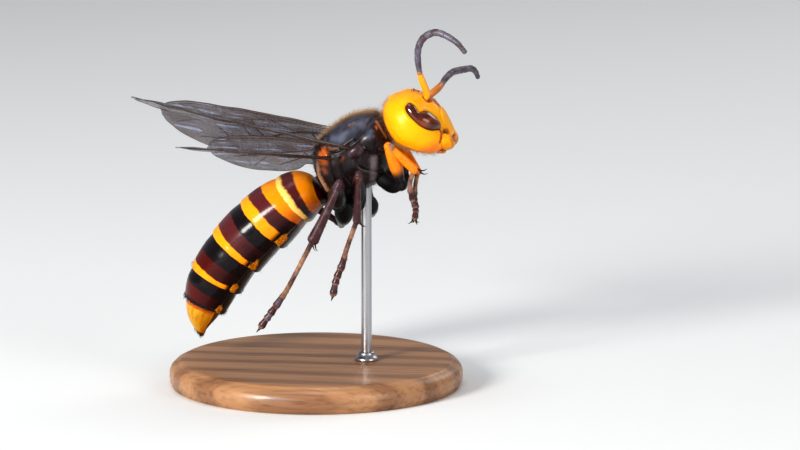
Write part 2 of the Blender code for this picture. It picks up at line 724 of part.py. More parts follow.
def wing_plan(outline, veins):
    """Points and triangles of the wing seen flat, with a strip of points along every vein."""
    edge = [Vector(row) for row in smooth_rows(outline, 2)]
    points = list(edge)
    for vein in veins:
        middle = along(vein, VEIN_STEP)
        for k, point in enumerate(middle):
            run = middle[min(k + 1, len(middle) - 1)] - middle[max(k - 1, 0)]
            across = Vector((-run.y, run.x)).normalized() * VEIN_WIDTH
            points += [point, point + across, point - across]
    spaced = []
    for point in points:
        if all((point - other).length > PLAN_SPACING for other in spaced):
            spaced.append(point)
    found = delaunay_2d_cdt(spaced, [], [list(range(len(edge)))], 1, 1e-5)
    return found[0], found[2]


def make_wing(name, shape, outline, veins, neighbours):
    """A thin wing with its veins raised on both faces, the same triangles above and below."""
    hinge = body_point(*shape["hinge"])
    span = (body_point(*shape["tip"]) - hinge).normalized()
    lead = Vector(shape["lead"])
    lead = (lead - span * lead.dot(span)).normalized()
    normal = span.cross(lead)
    points, triangles = wing_plan(outline, veins)

    def build(mesh):
        faces = {1: [], -1: []}
        for sign in (1, -1):
            for point in points:
                rise = max(0.0, 1.0 - vein_distance(point, veins) / VEIN_WIDTH) * VEIN_HEIGHT
                bow = -WING_CAMBER * (point.y - WING_BOW_AT) ** 2
                height = bow + sign * (MEMBRANE / 2 + rise)
                faces[sign].append(mesh.verts.new(
                    hinge + (span * point.x + lead * point.y + normal * height) * MM))
        rim = set()
        for a, b, c in triangles:
            mesh.faces.new([faces[1][k] for k in (a, b, c)])
            mesh.faces.new([faces[-1][k] for k in (a, c, b)])
            for pair in ((a, b), (b, c), (c, a)):
                if pair[::-1] in rim:
                    rim.remove(pair[::-1])
                else:
                    rim.add(pair)
        for a, b in rim:
            mesh.faces.new((faces[1][a], faces[-1][a], faces[-1][b]))
            mesh.faces.new((faces[1][a], faces[-1][b], faces[1][b]))
    return cut_back(mesh_object(name, build, "wing"), *neighbours)


def make_wings(plates, tegulae):
    made = {}
    for name in ("forewing_L", "forewing_R", "hindwing_L", "hindwing_R"):
        fore = name.startswith("forewing")
        outline = FOREWING_OUTLINE if fore else HINDWING_OUTLINE
        veins = FOREWING_VEINS if fore else HINDWING_VEINS
        neighbours = [plates[plate] for plate in ("thorax", "scutellum", "propodeum")]
        neighbours.append(tegulae[name[-1]])
        if not fore:
            neighbours.append(made["forewing_" + name[-1]])
        made[name] = make_wing(name, WINGS[name], outline, veins, neighbours)
    return made


def make_stand(thorax):
    """A low round base and one thin rod up to the underside of the thorax."""
    def build(shape):
        place = Matrix.Translation((0, 0, BASE_HEIGHT / 2))
        bmesh.ops.create_cone(shape, cap_ends=True, segments=48, radius1=BASE_RADIUS, radius2=BASE_RADIUS,
                              depth=BASE_HEIGHT, matrix=place)
        top = [edge for edge in shape.edges if min(v.co.z for v in edge.verts) > BASE_HEIGHT - 0.01 * MM]
        bmesh.ops.bevel(shape, geom=top, offset=BASE_EDGE, segments=2, profile=0.5, affect="EDGES")
    base = mesh_object("stand_base", build, "stand_wood")

    bottom = BASE_HEIGHT + GAP
    foot = body_point(ROD_AHEAD, 0, ROD_TOP)
    top = foot.z

    def build_rod(shape):
        place = Matrix.Translation((foot.x, 0, (bottom + top) / 2))
        bmesh.ops.create_cone(shape, cap_ends=True, segments=16, radius1=ROD_RADIUS, radius2=ROD_RADIUS,
                              depth=top - bottom, matrix=place)
    rod = cut_back(mesh_object("stand_rod", build_rod, "stand_steel"), thorax)
    return base, rod


def main():
    plates = make_thorax()
    stand_base, stand_rod = make_stand(plates["thorax"])
    tegulae = {}
    pitch = Matrix.Rotation(-THORAX_PITCH, 3, "Y")
    for sign, letter in ((1, "L"), (-1, "R")):
        x, y, z = TEGULA_AT
        tegulae[letter] = ellipsoid("tegula_" + letter, body_point(x, y * sign, z), TEGULA_SIZE, pitch,
                                    "dark_shell", sides=12)
        cut_back(tegulae[letter], plates["thorax"], plates["pronotum"])
    head = make_head(plates)
    make_feelers(head["head"], head["clypeus"])
    gaster = make_gaster()
    petiole = limb("petiole", PETIOLE_PATH, PETIOLE_RADII, "dark_shell")
    cut_back(petiole, plates["propodeum"], plates["thorax"], gaster[0])
    make_wings(plates, tegulae)
    coxae = []
    for name, joints in LEG_JOINTS.items():
        carriers = [plates["thorax"], plates["pronotum"], plates["propodeum"], stand_rod, petiole, *coxae]
        coxae.append(make_leg(name, joints, carriers))


clear_scene()
HORNET = new_collection("asian_giant_hornet")
CUTTERS = new_collection("cutters")
main()
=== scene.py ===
"""An asian giant hornet in flight on a plain display stand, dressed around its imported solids.

Every shape is worked out in millimetres from the middle of the thorax, BODY_AT, in the solids' own
frame: +X to the head, +Y to the hornet's left, +Z up. Points are written on the axes of the head,
the thorax or the gaster and then placed on the body. Each piece is a few closed surfaces with fields
on their points, which its material reads.
"""

import math

import bpy
import numpy as np
from bpy.props import FloatProperty, FloatVectorProperty, PointerProperty
from bpy.types import Operator, Panel, PropertyGroup
from mathutils import Matrix, Vector


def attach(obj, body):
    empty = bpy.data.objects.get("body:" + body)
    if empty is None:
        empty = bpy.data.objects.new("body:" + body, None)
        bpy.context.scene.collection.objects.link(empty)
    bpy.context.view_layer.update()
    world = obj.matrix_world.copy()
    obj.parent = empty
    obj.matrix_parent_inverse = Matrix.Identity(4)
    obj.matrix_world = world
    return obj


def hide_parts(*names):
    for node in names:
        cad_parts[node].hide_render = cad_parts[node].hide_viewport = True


bl_info = {
    "name": "Giant hornet model",
    "version": (1, 0, 0),
    "blender": (4, 5, 0),
    "location": "3D View > Sidebar > Hornet",
    "description": "Builds the looks of a life-size giant hornet model around its packed solids",
    "category": "Object",
}

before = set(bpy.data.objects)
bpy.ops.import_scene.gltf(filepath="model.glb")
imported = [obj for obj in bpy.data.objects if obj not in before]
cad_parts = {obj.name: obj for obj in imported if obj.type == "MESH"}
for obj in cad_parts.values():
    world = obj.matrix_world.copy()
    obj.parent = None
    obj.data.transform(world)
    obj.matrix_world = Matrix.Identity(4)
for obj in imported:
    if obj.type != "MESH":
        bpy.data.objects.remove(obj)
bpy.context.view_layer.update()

MM = 0.001
BODY_AT = np.array((4.0, 0.0, 27.0))
SIDES = {"L": 1.0, "R": -1.0}
UP = (0.0, 0.0, 1.0)
LEFT = (0.0, 1.0, 0.0)

# Thorax: pitch, squareness, where 2 is an ellipse, rows and columns of its skin, and rings: length,
# height of the back, height of the underside and half width.
THORAX_PITCH = math.radians(30.0)
THORAX_SQUARE = 2.3
THORAX_GRID = (260, 320)
THORAX_RINGS = (
    (-4.3, 0.3, -2.5, 1.5),
    (-4.0, 1.5, -3.2, 2.3),
    (-3.1, 2.6, -3.7, 3.0),
    (-1.8, 3.2, -4.1, 3.6),
    (0.0, 3.75, -4.3, 3.95),
    (2.0, 3.9, -4.2, 3.95),
    (3.7, 3.55, -3.3, 3.6),
    (4.9, 3.0, -1.6, 2.8),
    (5.6, 2.3, -0.3, 1.7),
)
# Furrows between the plates of the thorax, on its left side: depth, width and points.
THORAX_SEAMS = (
    (0.16, 0.13, ((5.45, 0.0, 2.4), (5.22, 1.29, 2.5), (3.89, 3.04, 2.09), (2.23, 3.71, 1.46))),
    (0.16, 0.12, ((2.23, 3.71, 1.46), (0.76, 3.78, 1.3), (-0.55, 3.6, 1.4), (-1.38, 3.07, 1.96))),
    (0.2, 0.14, ((-1.38, 3.07, 1.96), (-1.05, 2.0, 3.0), (-0.8, 1.0, 3.4), (-0.7, 0.0, 3.6))),
    (0.2, 0.13, ((-2.1, 3.1, 1.5), (-2.25, 1.9, 2.5), (-2.4, 0.9, 2.85), (-2.45, 0.0, 2.95))),
    (0.14, 0.12, ((-2.75, 2.8, 1.0), (-3.05, 1.7, 2.0), (-3.15, 0.8, 2.4), (-3.2, 0.0, 2.5))),
    (0.15, 0.12, ((2.1, 3.9, -0.1), (2.82, 3.82, -0.4), (3.47, 3.56, -1.06), (4.0, 3.2, -1.3),
                  (4.7, 2.4, -1.4))),
    (0.14, 0.14, ((1.5, 4.0, -0.2), (1.1, 4.0, -1.5), (1.9, 3.5, -2.6), (2.8, 2.6, -3.3))),
    (0.16, 0.13, ((-0.3, 3.9, 0.4), (-0.9, 3.75, -1.0), (-0.9, 3.3, -2.6), (-0.6, 2.0, -3.9))),
    (0.14, 0.12, ((-1.4, 3.4, 1.3), (-1.9, 3.4, -0.2), (-2.2, 3.1, -2.0), (-2.3, 1.9, -3.5))),
    (0.07, 0.1, ((5.1, 0.0, 2.9), (3.4, 0.0, 3.6), (1.6, 0.0, 3.9))),
    (0.05, 0.09, ((3.4, 1.45, 3.4), (1.6, 1.55, 3.6), (0.1, 1.5, 3.5))),
    (0.1, 0.12, ((-0.8, 0.0, 3.5), (-1.6, 0.0, 3.3), (-2.4, 0.0, 3.0))),
    (0.18, 0.3, ((-3.3, 0.0, 2.4), (-3.9, 0.0, 1.5), (-4.2, 0.0, 0.2))),
    (-0.15, 0.24, ((-2.6, 2.8, 1.3), (-3.3, 2.6, 0.6), (-3.75, 2.5, -0.5), (-3.95, 1.9, -2.0))),
    (-0.08, 0.12, ((4.0, 3.3, -0.4), (3.3, 3.7, -0.5), (2.75, 3.85, 0.1))),
)
# Swellings on the thorax's left side: height, radius, middle.
THORAX_SWELLS = (
    (0.22, 0.95, (-1.6, 1.25, 3.1)),
    (0.14, 0.6, (-2.75, 1.0, 2.55)),
    (0.2, 1.1, (3.6, 3.2, 0.4)),
    (0.16, 1.3, (0.6, 3.8, -2.0)),
    (0.12, 0.8, (-0.8, 3.7, 0.9)),
    (0.2, 1.0, (-3.2, 2.4, -0.4)),
    (0.24, 0.7, (-2.2, 2.95, 1.5)),
    (0.24, 0.75, (4.08, 3.37, 0.99)),
    (-0.16, 0.2, (-1.32, 2.58, 2.56)),
    (0.12, 0.5, (-1.5, 3.6, 0.0)),
    (0.1, 0.55, (2.5, 3.5, -2.2)),
)
# Marks on the thorax's left side: field, strength, radius and points of its line.
# The sheen marks are painted sheen, the grey mark is grey hair with some painted sheen, and the dark mark is
# painted shade in a pit.
THORAX_MARKS = (
    ("orange", 0.75, 0.22, ((4.85, 2.7, 1.55), (4.8, 2.75, 1.3))),
    ("tan", 1.4, 0.24, ((5.12, 2.23, 1.95), (5.17, 2.35, 0.9), (5.17, 2.27, -0.1))),
    ("orange", 0.4, 0.35, ((0.1, 3.9, 0.35), (-0.5, 3.85, 0.1))),
    ("orange", 1.25, 0.85, ((-2.0, 3.0, 1.8), (-2.2, 3.1, 1.3))),
    ("orange", 0.5, 0.55, ((-2.8, 3.1, 0.35), (-2.7, 3.2, -0.1))),
    ("tan", 1.1, 0.55, ((-2.9, 2.6, 1.35), (-3.4, 2.5, 0.6), (-3.75, 2.5, -0.5), (-3.95, 1.9, -2.0))),
    ("tan", 0.8, 0.3, ((-1.2, 2.4, 2.75), (-0.85, 3.3, 1.9), (0.0, 3.65, 1.6))),
    ("tan", 0.7, 0.3, ((-1.5, 2.75, 2.35), (-1.7, 3.0, 1.9))),
    ("tan", 0.3, 0.22, ((-1.35, 1.9, 2.95), (-1.85, 2.35, 2.55), (-2.2, 1.8, 2.6))),
    ("tan", 0.6, 0.5, ((2.3, 2.5, 3.15), (2.9, 2.5, 3.05))),
    ("sheen", 1.0, 0.7, ((1.3, 3.2, 2.5), (0.3, 3.2, 2.4), (-0.2, 2.8, 2.75))),
    ("sheen", 0.8, 0.5, ((4.1, 3.2, 1.3), (3.7, 3.5, 0.9))),
    ("grey", 1.1, 0.62, ((2.95, 3.6, -1.5), (2.3, 3.3, -2.5), (1.6, 2.6, -3.4))),
    ("dark", 1.0, 0.22, ((-1.25, 2.6, 2.6), (-1.35, 2.55, 2.5))),
)
NECK_PATH = ((5.0, 0.0, 0.9), (6.2, 0.0, 1.2), (7.2, 0.0, 1.4))
NECK_RADII = (1.5, 1.2, 1.3)

# Head rings: length down the face, reach of the face, reach of the nape and half width.
HEAD_AT = np.array((7.9, 0.0, 4.2))
HEAD_TIP = math.radians(56.0)
HEAD_SQUARE = 2.35
HEAD_GRID = (230, 300)
HEAD_RINGS = (
    (-3.9, -0.3, -1.5, 1.2),
    (-3.6, 0.8, -2.2, 2.6),
    (-2.9, 1.7, -2.8, 3.7),
    (-1.9, 2.2, -3.2, 4.4),
    (-0.6, 2.4, -3.4, 4.8),
    (0.8, 2.45, -3.3, 4.8),
    (2.0, 2.4, -2.6, 4.3),
    (3.0, 2.25, -1.8, 3.6),
    (3.7, 1.95, -1.1, 2.8),
)
# The face along its middle, from crown to mouth: length down it and reach in front. Then its half width.
FACE_LINE = ((-3.4, -2.6, -1.6, -0.8, 0.0, 1.0, 2.0, 3.0, 3.7),
             (0.9, 1.9, 2.6, 2.85, 2.98, 3.0, 2.88, 2.7, 2.2))
FACE_HALF = 1.75
# Face plate: its middle down the face, half length, rise, and half width at places down the face.
CLYPEUS_AT = 1.75
CLYPEUS_HALF = 1.75
CLYPEUS_RISE = 0.13
CLYPEUS_WIDTHS = ((0.0, 0.6, 1.2, 1.9, 2.4, 3.0, 3.5), (0.9, 1.45, 1.62, 1.66, 2.1, 2.2, 1.9))
# The eye's rear and front edge from its top to its bottom, and its two ends.
EYE_REAR = ((-2.38, 3.81, 0.69), (-2.29, 4.04, 0.36), (-1.84, 4.32, 0.28), (-1.24, 4.54, 0.32),
            (-0.54, 4.64, 0.49), (0.28, 4.59, 0.68), (1.05, 4.32, 1.02), (1.65, 3.78, 1.42),
            (1.93, 3.11, 1.82))
EYE_FRONT = ((-2.05, 3.5, 1.25), (-1.55, 3.66, 1.35), (-1.08, 3.95, 1.25), (-0.8, 3.75, 1.5),
             (-0.5, 2.8, 2.0), (0.22, 2.22, 2.2), (0.95, 1.98, 2.25), (1.6, 1.95, 2.24),
             (1.98, 2.15, 2.18))
EYE_ENDS = ((-2.5, 3.55, 1.05), (2.1, 2.6, 2.05))
# Points around the eye's outline, how many of its waves stay, and its rows, which crowd at both ends.
EYE_STEPS = 300
EYE_ROUNDING = 13.0
EYE_ROWS = 90
EYE_SPOTS = 0.5 - 0.5 * np.cos(np.linspace(0, math.pi, EYE_ROWS))
# The left feeler's socket.
SOCKET_AT = (-1.5, 1.25, 2.3)
# Furrows of the head, on its left side: depth, width and points.
HEAD_SEAMS = (
    (0.05, 0.16, ((-2.5, 0.0, 1.9), (-1.6, 0.0, 2.3), (-0.9, 0.0, 2.4))),
    (0.1, 0.1, ((2.1, 2.75, 2.0), (2.6, 2.65, 1.9), (3.1, 2.6, 1.6))),
    (0.12, 0.14, ((-2.9, 2.2, -2.3), (-1.5, 3.3, -2.6), (0.3, 3.9, -2.5), (1.8, 3.6, -1.8),
                  (2.9, 3.0, -0.9))),
)
# The rise that carries the ocelli, then each ocellus: place and radius.
OCELLI_AT = (-3.0, 0.0, 1.6)
OCELLI = ((-2.75, 0.0, 1.85, 0.2), (-3.15, 0.42, 1.4, 0.18), (-3.15, -0.42, 1.4, 0.18))
# The left jaw: its joint at the cheek, the crease beside it, its path and radii, and its teeth as
# length down the face, distance to the side and reach.
JAW_JOINT = (2.75, 2.0, 2.1)
JAW_CREASE = ((2.0, 2.75, 2.0), (2.6, 2.65, 1.9), (3.3, 2.7, 1.2))
JAW_PATH = ((2.9, 2.1, 1.75), (3.4, 2.3, 1.8), (3.85, 2.1, 1.7), (4.15, 1.5, 1.65), (4.2, 0.8, 1.7),
            (4.15, 0.12, 1.75))
JAW_RADII = (0.45, 0.7, 0.82, 0.78, 0.66, 0.45)
JAW_TEETH = ((4.3, 0.9, 0.75), (4.4, 0.5, 0.95), (4.35, 0.1, 1.25))
TOOTH_RADII = (0.34, 0.26, 0.08)
# The left palps: path and radius. Then the under lip and the lip plate: path, radii, rows, depth as a
# share of the width, and the fields ruddy and shade.
PALPS = (
    (((3.1, 1.4, -0.4), (3.9, 1.4, 0.0), (4.4, 1.1, 0.4), (4.6, 0.8, 0.7)), 0.2),
    (((3.1, 0.7, -0.5), (3.9, 0.6, -0.2), (4.4, 0.5, 0.1)), 0.16),
)
LIPS = (
    (((3.0, 0.0, -0.3), (3.6, 0.0, 0.4), (3.8, 0.0, 0.9)), (1.4, 1.2, 0.7), 14, 0.55, 0.4, 0.5),
    (((3.3, 0.0, 1.75), (3.7, 0.0, 1.85), (4.0, 0.0, 1.8)), (1.15, 1.1, 0.8), 12, 0.35, 1.0, 0.3),
)

# Each feeler's long first joint and the lash of short joints after the elbow.
FEELERS = {
    "R": {
        "scape": ((8.6, -1.2, 6.4), (9.1, -1.3, 7.4), (8.75, -1.9, 8.7), (8.45, -2.4, 9.75)),
        "lash": ((8.4, -2.5, 10.0), (8.25, -2.9, 11.6), (8.4, -3.4, 13.0), (9.05, -4.1, 14.2),
                 (10.3, -4.8, 14.95), (11.5, -5.2, 14.8), (13.0, -5.6, 14.0), (14.0, -5.7, 12.9)),
    },
    "L": {
        "scape": ((8.6, 1.2, 6.4), (9.2, 1.4, 7.0), (9.8, 2.4, 7.5), (10.1, 3.6, 7.8)),
        "lash": ((10.1, 3.8, 7.85), (10.4, 5.2, 8.35), (10.9, 6.6, 8.8), (11.4, 7.7, 8.9),
                 (12.0, 8.8, 8.9), (12.8, 9.8, 8.9), (13.2, 10.6, 8.4), (13.4, 11.2, 7.7)),
    },
}
SCAPE_RADII = (0.24, 0.38, 0.42, 0.36)
ELBOW_RADII = (0.26, 0.34, 0.28)
LASH_RADII = (0.34, 0.4, 0.41, 0.37, 0.27)
LASH_JOINTS = 10

# Gaster rings: the upper and the lower point that one ring joins, and its half width.
GASTER_SQUARE = 2.1
GASTER_COLUMNS = 320
GASTER_RINGS = (
    (-2.75, -4.3, -2.45, -5.5, 0.75),
    (-3.9, -3.2, -3.0, -6.0, 2.3),
    (-5.0, -2.35, -3.5, -6.6, 3.5),
    (-6.8, -2.1, -4.0, -7.2, 4.3),
    (-8.8, -2.95, -4.8, -8.1, 4.7),
    (-11.1, -4.3, -6.6, -10.0, 4.85),
    (-13.4, -6.3, -8.6, -11.9, 4.8),
    (-15.1, -8.1, -10.1, -13.3, 4.65),
    (-16.6, -10.1, -11.4, -14.7, 4.4),
    (-17.9, -12.1, -12.4, -15.9, 4.05),
    (-18.8, -14.1, -13.4, -17.2, 3.6),
    (-19.25, -15.9, -14.4, -18.4, 3.05),
    (-19.25, -17.7, -15.4, -19.5, 2.4),
    (-18.9, -19.6, -16.4, -20.6, 1.45),
    (-17.75, -21.6, -17.3, -21.7, 0.25),
)
# The ring places where the plates start and end.
PLATE_ENDS = (0, 3.9, 5.75, 7.65, 9.6, 11.6, 14)
PLATES = len(PLATE_ENDS) - 1
# Where each plate's rim lies at the back, down the side and at the belly, as shares of its length.
RIM_PLACES = (0.0, 0.25, 0.5, 0.75, 0.86, 1.0)
RIMS = (
    (1.0, 1.0, 1.0, 1.0, 1.0, 1.0),
    (1.0, 0.99, 0.97, 0.94, 0.96, 0.96),
    (0.97, 0.92, 0.87, 0.8, 0.86, 0.86),
    (0.98, 0.92, 0.85, 0.78, 0.86, 0.86),
    (1.0, 0.96, 0.91, 0.86, 0.92, 0.92),
    (1.0, 0.97, 0.93, 0.88, 0.94, 0.94),
    (1.0, 1.0, 1.0, 1.0, 1.0, 1.0),
)
# Where the belly begins, as a share of the way from the back to the middle of the underside.
BELLY_EDGE = 0.76
# Bands of each plate: the colour that starts, and where it starts at the places in BAND_SIDES.
BAND_SIDES = np.linspace(0, 0.75, 4)
# How soft the start of a band is, and that of a plate's first band, as shares of the plate.
BAND_EDGE = 0.022
PLATE_EDGE = 0.006
BANDS = (
    (("black", (0.0, 0.0, 0.0, 0.0)), ("deep_red", (0.12, 0.1, 0.08, 0.05)),
     ("orange", (0.38, 0.31, 0.25, 0.24)), ("purple", (0.76, 0.72, 0.69, 0.68)),
     ("pale_yellow", (0.93, 0.91, 0.885, 0.88))),
    (("orange", (0.0, 0.0, 0.0, 0.0)), ("purple", (0.44, 0.38, 0.33, 0.28)),
     ("orange_yellow", (0.79, 0.74, 0.7, 0.71))),
    (("black", (0.0, 0.0, 0.0, 0.0)), ("purple", (0.3, 0.31, 0.325, 0.35)),
     ("orange_yellow", (0.74, 0.76, 0.79, 0.82))),
    (("black", (0.0, 0.0, 0.0, 0.0)), ("deep_red", (0.46, 0.42, 0.4, 0.42)),
     ("orange_yellow", (0.74, 0.8, 0.84, 0.86))),
    (("black", (0.0, 0.0, 0.0, 0.0)), ("deep_red", (0.35, 0.38, 0.42, 0.5)),
     ("black", (0.84, 0.85, 0.86, 0.88))),
    (("brown", (0.0, 0.0, 0.0, 0.0)), ("tail_yellow", (0.13, 0.12, 0.1, 0.1)),
     ("deep_red", (0.86, 0.87, 0.88, 0.88))),
)
PETIOLE_PATH = ((-0.9, 0.0, -3.7), (-1.3, 0.0, -4.1), (-1.9, 0.0, -4.75), (-2.6, 0.0, -5.05),
                (-3.0, 0.0, -5.1))
PETIOLE_RADII = (0.9, 0.8, 0.62, 0.8, 0.9)

LEG_JOINTS = {
    "front_R": {
        "coxa": ((4.0, -1.6, -2.5), (5.2, -2.2, -3.1), (6.2, -3.0, -2.9)),
        "femur": ((6.5, -3.2, -2.9), (5.9, -4.2, -0.4), (5.1, -5.1, 2.0)),
        "tibia": ((5.2, -5.1, 2.0), (6.8, -4.6, 0.4), (8.1, -4.1, -0.9)),
        "tarsus": ((8.0, -4.1, -1.0), (7.5, -3.9, -2.4), (7.6, -3.6, -4.0), (8.0, -3.3, -5.4),
                   (7.9, -3.1, -6.6)),
    },
    "mid_R": {
        "coxa": ((0.9, -1.7, -3.3), (1.1, -2.5, -4.7), (1.5, -3.5, -5.2)),
        "femur": ((1.5, -3.6, -5.0), (1.9, -6.0, -3.0), (2.2, -8.0, -0.9)),
        "tibia": ((2.2, -8.0, -1.0), (2.0, -7.5, -4.0), (1.85, -7.0, -6.4)),
        "tarsus": ((1.8, -7.0, -6.5), (0.7, -7.0, -9.6), (0.2, -7.0, -11.4), (-0.5, -7.0, -13.2),
                   (-0.9, -7.0, -15.0)),
    },
    "hind_R": {
        "coxa": ((-0.6, -1.5, -3.2), (-1.0, -2.1, -4.6), (-1.0, -3.2, -5.3)),
        "femur": ((-1.0, -3.3, -5.1), (-0.5, -6.2, -3.8), (0.1, -8.5, -1.9)),
        "tibia": ((0.1, -8.5, -2.0), (-1.5, -8.5, -5.5), (-2.95, -8.5, -8.5)),
        "tarsus": ((-3.0, -8.5, -8.6), (-5.7, -8.4, -13.8), (-6.9, -8.2, -15.7), (-8.1, -8.0, -17.4),
                   (-9.1, -7.9, -18.8)),
    },
    "front_L": {
        "coxa": ((4.0, 1.6, -2.6), (5.2, 2.2, -3.5), (6.0, 3.1, -3.4)),
        "femur": ((6.0, 3.3, -3.2), (5.4, 4.4, -1.0), (4.8, 5.4, 1.2)),
        "tibia": ((4.9, 5.4, 1.2), (6.2, 4.7, -0.8), (7.3, 3.9, -2.5)),
        "tarsus": ((7.3, 3.8, -2.6), (7.1, 3.5, -4.0), (7.1, 3.2, -5.3), (7.3, 3.0, -6.6),
                   (7.2, 2.9, -7.7)),
    },
    "mid_L": {
        "coxa": ((0.9, 1.7, -3.3), (1.1, 2.5, -4.7), (1.5, 3.5, -5.5)),
        "femur": ((1.5, 3.6, -5.5), (1.6, 5.4, -6.8), (1.5, 7.2, -8.0)),
        "tibia": ((1.5, 7.3, -7.9), (0.3, 7.4, -4.8), (-0.9, 7.2, -1.9)),
        "tarsus": ((-1.0, 7.2, -1.8), (-3.6, 6.8, -3.2), (-5.0, 6.6, -4.1), (-6.4, 6.5, -5.1),
                   (-7.6, 6.4, -6.1)),
    },
    "hind_L": {
        "coxa": ((-0.6, 1.5, -3.2), (-1.0, 2.1, -4.6), (-1.0, 3.2, -5.5)),
        "femur": ((-1.0, 3.3, -5.6), (-1.5, 5.2, -7.6), (-2.1, 7.0, -9.3)),
        "tibia": ((-2.2, 7.1, -9.3), (-4.9, 7.4, -7.7), (-7.6, 7.5, -6.6)),
        "tarsus": ((-7.8, 7.5, -6.6), (-11.4, 7.0, -8.6), (-13.2, 6.6, -10.2), (-14.8, 6.1, -12.0),
                   (-15.8, 5.6, -13.6)),
    },
}
# Radii along each length of a leg, then the shares of the foot's five joints and its radius.
LEG_RADII = {
    "coxa": {"front": (0.85, 0.85, 0.6), "mid": (1.0, 1.25, 0.8), "hind": (1.0, 1.3, 0.9)},
    "femur": {"front": (0.42, 0.85, 0.5), "mid": (0.5, 1.05, 0.5), "hind": (0.6, 1.3, 0.55)},
    "tibia": {"front": (0.34, 0.5, 0.56), "mid": (0.32, 0.48, 0.58), "hind": (0.32, 0.5, 0.68)},
}
TARSUS_SHARES = (0.42, 0.18, 0.13, 0.1, 0.17)
TARSUS_RADIUS = 0.36
# How a foot joint widens from its root to its end: the long first joint, and the four after it.
FOOT_FLARES = ((0.8, 0.78, 0.76, 0.78, 0.84, 1.05), (0.92, 0.98, 1.05, 1.14, 1.24, 1.1))
# How pale the long first foot joint is, as shares of the foot's tone, and the four after it.
FOOT_PALE = (0.25, 1.0, 0.5, 0.9, 0.6)
TOE_PALE = (0.1, 0.1, 0.15, 0.2, 0.65)
# Rows, columns and depth, as a share of the width, of the three upper lengths of a leg.
LEG_PARTS = {"coxa": (24, 32, 0.9), "femur": (60, 36, 0.85), "tibia": (56, 32, 0.82)}
# Fields of each length of a leg, read along it.
# The black of the mid and hind thighs is their own dark colour and partly painted shade.
HIP = {"dark": 1.1}
THIGH = {"dark": (1.1, 1.1, 0.8, 0.3)}
# The pale at the knees and down the front shin is partly tan and partly painted highlight.
LEG_TONES = {
    "front": {"coxa": HIP, "femur": {"ruddy": (0.0, 0.45, 1.0, 1.1), "dark": (1.1, 0.5, 0.0, 0.0)},
              "knee": {"pale": 0.9, "ruddy": 0.3},
              "tibia": {"ruddy": (0.35, 1.1, 1.0, 1.0, 0.6), "pale": (1.3, 0.8, 0.6, 0.6, 0.6)},
              "tarsus": {"pale": 0.9, "ruddy": 0.2}},
    "mid": {"coxa": HIP, "femur": THIGH, "knee": {"pale": 0.45, "ruddy": 0.0},
            "tibia": {"pale": (0.45, 0.1, 0.2)}, "tarsus": {"pale": 0.8}},
    "hind": {"coxa": HIP, "femur": THIGH, "knee": {"pale": 0.2, "ruddy": 0.0},
             "tibia": {"pale": (0.15, 0.1, 0.25)}, "tarsus": {"pale": 0.85}},
}

# The scale over the left wings' roots: its middle and half sizes.
TEGULA_AT = (1.25, 3.7, 1.0)
TEGULA_SIZE = (1.15, 0.7, 0.8)
# Wings: outline and veins in the wing's own plane, as length along it and height towards its leading
# side. The camber bows the membrane around WING_BOW_AT.
FOREWING_LEAD = ((-0.8, 0.35), (3.0, 0.95), (9.0, 1.3), (16.0, 1.55), (20.5, 1.5), (24.3, 0.9),
                 (26.8, -0.5), (27.5, -2.1))
FOREWING_TRAIL = ((-0.8, -0.6), (3.0, -1.7), (7.5, -3.4), (12.0, -4.9), (15.8, -6.0), (19.5, -6.0),
                  (23.5, -5.2), (26.3, -3.9), (27.5, -2.1))
FOREWING_VEINS = (
    ((-0.4, 0.0), (3.0, 0.6), (9.0, 0.95), (16.0, 1.15), (20.5, 1.1), (24.3, 0.45)),
    ((0.2, -0.15), (4.5, -0.5), (8.5, -1.1), (14.0, -3.3), (17.5, -4.4)),
    ((8.5, -1.1), (10.4, -0.3), (12.2, 1.0)),
    ((11.6, 0.6), (17.0, -0.9), (22.5, -2.0), (25.6, -2.9)),
    ((17.4, 1.1), (18.6, -0.3), (22.0, -0.55), (24.3, 0.45)),
    ((2.5, -1.0), (7.0, -2.6), (12.0, -4.1)),
    ((16.4, -0.7), (15.9, -2.2), (15.2, -3.7)),
    ((20.3, -1.6), (19.5, -2.8), (18.4, -4.0)),
    ((18.6, -0.3), (18.9, -0.8), (19.2, -1.35)),
    ((21.5, -0.55), (21.8, -1.2), (22.0, -1.9)),
    ((6.4, -0.8), (6.2, -1.5), (5.9, -2.2)),
    ((15.2, -3.7), (18.4, -4.0), (22.6, -4.5)),
    ((14.6, -0.2), (14.2, -1.8), (13.2, -3.0)),
)
HINDWING_LEAD = ((-0.8, 0.3), (4.0, 0.75), (9.0, 1.15), (13.5, 1.0), (17.5, 0.2), (19.4, -1.2))
HINDWING_TRAIL = ((-0.8, -0.5), (1.4, -1.8), (3.4, -2.9), (5.6, -3.0), (7.2, -3.9), (11.0, -4.3),
                  (15.0, -3.9), (18.3, -2.8), (19.4, -1.2))
HINDWING_VEINS = (
    ((-0.4, 0.0), (4.0, 0.4), (9.0, 0.75), (13.5, 0.6), (17.0, 0.0)),
    ((0.2, -0.2), (5.5, -1.1), (10.5, -1.7), (16.0, -2.4)),
    ((9.5, 0.7), (10.1, -0.5), (10.4, -1.7)),
    ((1.5, -0.7), (5.0, -1.9), (9.5, -3.3)),
    ((5.2, -1.1), (5.0, -1.5), (4.8, -1.85)),
    ((10.5, -1.7), (11.6, -2.6), (13.2, -3.4)),
    ((13.4, 0.6), (13.9, -0.7), (14.2, -2.1)),
)
# The thick spot on the forewing's leading edge, and the root where the veins meet.
STIGMA = ((15.9, 1.25), (17.2, 1.2), (18.6, 1.3))
STIGMA_RADII = (0.12, 0.34, 0.12)
WING_ROOT = ((-1.0, -0.1), (0.2, -0.05), (1.6, 0.1))
WING_ROOT_RADII = (0.42, 0.4, 0.2)
WING_CAMBER = 0.03
WING_BOW_AT = -1.5
